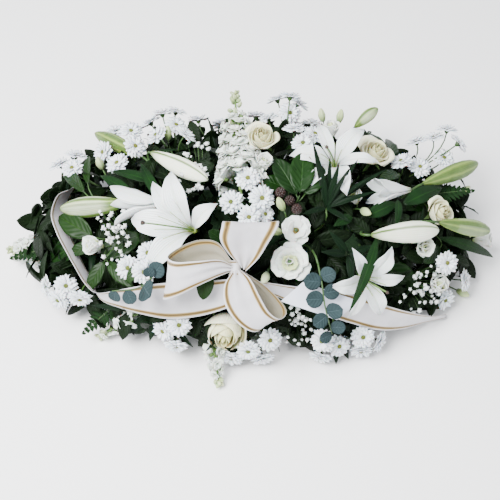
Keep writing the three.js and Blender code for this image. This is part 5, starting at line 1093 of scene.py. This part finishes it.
bearings, heights = draw.uniform(0, 360, under["skirt"]), draw.uniform(2, 24, under["skirt"])
skirt = onDome(np.stack([bearings, heights, draw.uniform(*under["skirtLift"], under["skirt"])], 1))
places = np.concatenate([domeScatter(under["leaves"], under["lift"]), skirt])
ways = unit(outward(places) * 0.35 + draw.normal(0, 0.55, places.shape) + [0, 0, -0.1])
lengths = draw.uniform(0.034, 0.062, len(places))
roots = places - ways * lengths[:, None] * 0.5
roots[:, 2] = np.maximum(roots[:, 2], 0.02)
normals = unit(outward(places) + draw.normal(0, 0.45, places.shape))
points = blade(roots, ways, normals, lengths, lengths * draw.uniform(0.38, 0.55, len(places)),
               draw.uniform(0.1, 0.7, len(places)),
               fold=0.15, peak=0.46, blunt=0.7, stem=0.12, rows=9, cols=5)
points[..., 2] = np.maximum(points[..., 2], 0.006)
addPiece("under_leaves", [sheets(points)], finishes["under"], thick=0.0005)
places = domeScatter(under["sprigs"], under["lift"])
ways = unit(outward(places) * 0.6 + draw.normal(0, 0.5, places.shape))
lengths = draw.uniform(0.04, 0.07, len(places))
roots = places - ways * lengths[:, None] * 0.6
roots[:, 2] = np.maximum(roots[:, 2], 0.02)
points = blade(roots, ways, unit(outward(places) + draw.normal(0, 0.4, places.shape)), lengths,
               lengths * 0.16, draw.uniform(0.2, 0.9, len(places)),
               fold=0.3, peak=0.4, blunt=0.9, stem=0.2, rows=9, cols=3)
points[..., 2] = np.maximum(points[..., 2], 0.006)
addPiece("under_sprigs", [sheets(points)], finishes["palm"], thick=0.0005)
skirtRings = {"rings": [[5, 15], [19, 9], [38, 5]], "lift": -12, "lean": 16, "depth": 44, "length": 0.070,
              "width": 0.038}
tips = np.concatenate([onDome([[360 * i / count, height,
                                skirtRings["lift"]] for i in range(count)]) for height,
                                count in skirtRings["rings"]])
inner = np.concatenate([onDome([[360 * i / count, height + skirtRings["lean"],
                                 -skirtRings["depth"]] for i in range(count)])
                        for height, count in skirtRings["rings"]])
ways = unit(tips - inner)
points = blade(tips - ways * skirtRings["length"], ways, outward(tips), skirtRings["length"],
               skirtRings["width"], 0.35, fold=0.12,
               cupping=0.1, peak=0.46, blunt=0.62, stem=0.12, rows=14, cols=9, ruffle=0.05)
points[..., 2] = np.maximum(points[..., 2], 0.004)
addPiece("skirt_leaves", [sheets(points)], finishes["salal"], thick=0.0006)
print("filling leaves made")

knotAt = seat([236, 268, 30])[0]
bowLoops = {
    "left": [
        [
            [-4, 4, 6], [-24, 12, 20], [-55, 10, 32], [-84, 9, 28], [-96, 17, 8], [-78, 31, -10],
            [-52, 40, -16], [-26, 36, -13], [-6, 10, -5]],
        [
            [-4, -4, 3], [-24, -12, 10], [-55, -26, 18], [-84, -40, 14], [-104, -44, -4], [-92, -24, -26],
            [-60, -8, -32], [-30, 0, -22], [-6, 0, -7]]],
    "top": [
        [
            [6, 3, 8], [-12, 22, 16], [-22, 40, 22], [-20, 58, 22], [-18, 66, 12], [-14, 54, -4],
            [-6, 24, -6], [0, 6, -4]],
        [
            [14, -4, 7], [32, 14, 14], [46, 36, 20], [58, 56, 20], [60, 66, 10], [46, 50, -8],
            [24, 20, -8], [8, 4, -5]]],
    "right": [
        [
            [-4, -5, 7], [-16, -24, 14], [-16, -48, 20], [-2, -72, 20], [18, -88, 10], [34, -88, -6],
            [40, -66, -16], [26, -34, -14], [4, -8, -6]],
        [
            [6, -2, 8], [21, -16, 18], [35, -42, 26], [47, -62, 24], [62, -72, 12], [72, -64, -2],
            [66, -50, -12], [42, -26, -12], [9, -4, -5]]],
}
sashEdges = {
    "upper": [
        [68, 190, 0], [57, 196, 10], [51, 214, 14], [56, 232, 16], [64, 248, 16], [74, 266, 14],
        [85, 284, 12], [97, 293, 12], [118, 290, 12], [140, 286, 12], [165, 283, 12], [205, 281, 12],
        [238, 279, 10], [262, 282, 8], [290, 286, 8], [320, 289, 10], [350, 294, 10], [378, 303, 10],
        [405, 311, 10], [430, 316, 8], [446, 314, 2]],
    "lower": [
        [76, 186, -40], [71, 197, -34], [66, 214, -30], [70, 233, -28], [77, 250, -26], [85, 267, -26],
        [93, 281, -26], [100, 299, -8], [120, 308, 2], [145, 315, 4], [172, 319, 4], [205, 315, 4],
        [238, 304, 4], [262, 293, -16], [290, 302, -8], [320, 313, 0], [350, 323, 2], [378, 330, 4],
        [402, 329, 4], [427, 322, 0], [446, 318, -6]],
}


# A ribbon between two smoothed edges, gathered by creases that fade away from the ends where it is tied.
def ribbonGrid(edgeA, edgeB, rows, cols, crease=0.0, bulge=0.0):
    a, b = smoothed(edgeA, rows), smoothed(edgeB, rows)
    t = np.linspace(0, 1, cols)[None, :, None]
    grid = a[:, None] * (1 - t) + b[:, None] * t
    normal = unit(np.cross(np.gradient(grid, axis=0), np.gradient(grid, axis=1)))
    s = np.linspace(0, 1, rows)[:, None]
    tied = np.exp(-s / 0.2) + np.exp(-(1 - s) / 0.2)
    wave = crease * tied * np.sin(np.linspace(0, 1, cols)[None] * 17 + 3 * s)
    return grid + normal * (wave + bulge * np.sin(np.pi * np.linspace(0, 1,
        cols))[None] * np.sin(np.pi * s))[..., None]


def clothArea(grid):  # the sum of the two triangles of every cell
    a, b = grid[1:, :-1] - grid[:-1, :-1], grid[:-1, 1:] - grid[:-1, :-1]
    c, d = grid[:-1, 1:] - grid[1:, 1:], grid[1:, :-1] - grid[1:, 1:]
    return 0.5 * (np.linalg.norm(np.cross(a, b), axis=-1) + np.linalg.norm(np.cross(c, d), axis=-1)).sum()


bow = {"rows": 80, "cols": 30, "crease": 0.0017, "bulge": 0.002, "width": 0.066, "thick": 0.0005}
patches, area = [], 0.0
for loop, edges in bowLoops.items():
    a, b = [knotAt + (np.array(edge) / 1000) @ np.stack([rightward, upward, toward]) for edge in edges]
    if loop != "top":
        a, b = b, a  # the glossy side faces out of every loop
    grid = ribbonGrid(a, b, bow["rows"], bow["cols"], bow["crease"], bow["bulge"])
    patches.append(sheets(grid[None], 0.0, 3.0))
    s, t = np.linspace(0, 1, bow["rows"])[:, None], np.linspace(0, 1, bow["cols"])[None]
    # painted shade: each loop darkens where it gathers at the knot and along its creases
    fold = 0.5 + 0.5 * np.sin(17 * t + 3 * s)
    patches[-1]["toneAndShade"] = ((np.exp(-s / 0.13) + np.exp(-(1 - s) / 0.13)) * (0.25 + 0.75 * fold)).clip(0,
        1).ravel()
    area += clothArea(grid)
knot = {"radius": 0.0080, "half": 0.0105, "ahead": 0.003}
t = np.linspace(-1, 1, 30)
angle = np.linspace(0, 2 * np.pi, 25)
band = 1 - 0.12 * np.cos(3 * angle + 0.6) - 0.05 * np.cos(11 * angle)
band = knot["radius"] * band[None] * (0.8 + 0.32 * t**2)[:, None]
band = (knotAt + rightward * (band * np.cos(angle))[..., None] + toward * (0.8 * band * np.sin(angle))[...,
    None]
        + upward * (t * knot["half"])[:, None, None] + toward * knot["ahead"])
patches.append(sheets(np.swapaxes(band, 0, 1)[None], 0.0, 1.2))
# painted shade: the knot band darkens round its three lobes
patches[-1]["toneAndShade"] = np.repeat(0.45 - 0.4 * np.cos(3 * angle + 0.6), len(t)).clip(0, 1)
area += clothArea(band)
# the back side of the bow takes the dark greige satin: its matte underside, in painted shade
bowPiece = addPiece("ribbon_bow.satin", patches, finishes["satin"], ["ribbon_bow"], bow["thick"],
                    finishes["satinBack"])
sashGrid = ribbonGrid(seat(sashEdges["upper"]), seat(sashEdges["lower"]), 180, 22, 0.0, 0.002)
sashPiece = addPiece("ribbon_sash.satin", [sheets(sashGrid[None], 0.08, 12.0)], finishes["satin"],
                     ["ribbon_sash"], bow["thick"])
clothArea(sashGrid) / bow["width"]
print("ribbon made")

card = nodeCorners["blank_card"]
cardFinish = Finish("cardPaper", {"Sheen Weight": 0.1})
fibre, grain = cardFinish.noise(40.0), cardFinish.noise(1400.0, 2.0)
cardFinish.feed({"Base Color": cardFinish.mix((fibre * 1.6 - 0.4).held(), colour("#e3e7f3"),
                                              colour("#d5dbec")),
                 "Roughness": (0.72 + grain * 0.15).held(), "Normal": cardFinish.bump(grain + fibre, 0.0001)})
foamFinish = Finish("wetFoam", {"Subsurface Weight": 0.02})
cells, pits = foamFinish.noise(320.0), foamFinish.noise(60.0)
foamFinish.feed({"Base Color": foamFinish.mix((cells * 1.8 - 0.5).held(), colour("#2c4a2c"),
                                              colour("#3f6340")),
                 "Roughness": (0.85 + cells * 0.1).held(), "Normal": foamFinish.bump(cells + pits * 1.4,
                     0.0012)})
trayFinish = Finish("mouldedTray", {"IOR": 1.46})
orange, scuff = trayFinish.noise(700.0, 2.0), trayFinish.noise(14.0)
trayFinish.feed({"Base Color": trayFinish.mix((scuff * 1.6 - 0.4).held(), colour("#17241a"),
                                              colour("#223226")),
                 "Roughness": (0.34 + scuff * 0.2).held(), "Normal": trayFinish.bump(orange, 0.00015)})
for nodeName, finish in (("blank_card", cardFinish), ("wet_foam", foamFinish), ("tray", trayFinish)):
    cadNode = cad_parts[nodeName]
    cadNode.data.materials.clear()
    cadNode.data.materials.append(finish.material)

stageSettings = {"floor": "#fbfbfb", "world": 1.0, "key": 165.0, "fill": 12.0}
floorMesh = bpy.data.meshes.new("floor")
floorMesh.from_pydata([(-6, -6, 0), (6, -6, 0), (6, 6, 0), (-6, 6, 0)], [], [(0, 1, 2, 3)])
floor = bpy.data.objects.new("floor", floorMesh)
bpy.context.scene.collection.objects.link(floor)
floorFinish = Finish("paleFloor", {"Base Color": colour(stageSettings["floor"]), "Roughness": 0.9})
floorMesh.materials.append(floorFinish.material)
world = bpy.data.worlds.new("studio")
world.use_nodes = True
world.node_tree.nodes["Background"].inputs["Color"].default_value = (0.93, 0.96, 1.0, 1.0)
world.node_tree.nodes["Background"].inputs["Strength"].default_value = stageSettings["world"]
bpy.context.scene.world = world


def addLight(name, place, target, power, size):
    lamp = bpy.data.lights.new(name, "AREA")
    lamp.energy, lamp.size = power, size
    holder = bpy.data.objects.new(name, lamp)
    bpy.context.scene.collection.objects.link(holder)
    holder.location = place
    way = Vector(target) - Vector(place)
    holder.rotation_euler = way.to_track_quat("-Z", "Y").to_euler()


addLight("keyLight", (-0.9, -0.6, 1.9), (0, 0, 0.1), stageSettings["key"], 1.2)
addLight("fillLight", (1.4, -1.2, 1.2), (0, 0, 0.1), stageSettings["fill"], 1.5)

cameraData = bpy.data.cameras.new("camera")
cameraData.sensor_width = 36.0
cameraData.lens = 36.0 * view["distance"] / (500 * view["pixel"])
cameraObject = bpy.data.objects.new("camera", cameraData)
bpy.context.scene.collection.objects.link(cameraObject)
cameraObject.location = eye
cameraObject.rotation_euler = (math.pi / 2 - tilt, 0, 0)
bpy.context.scene.camera = cameraObject

print("scene ready")
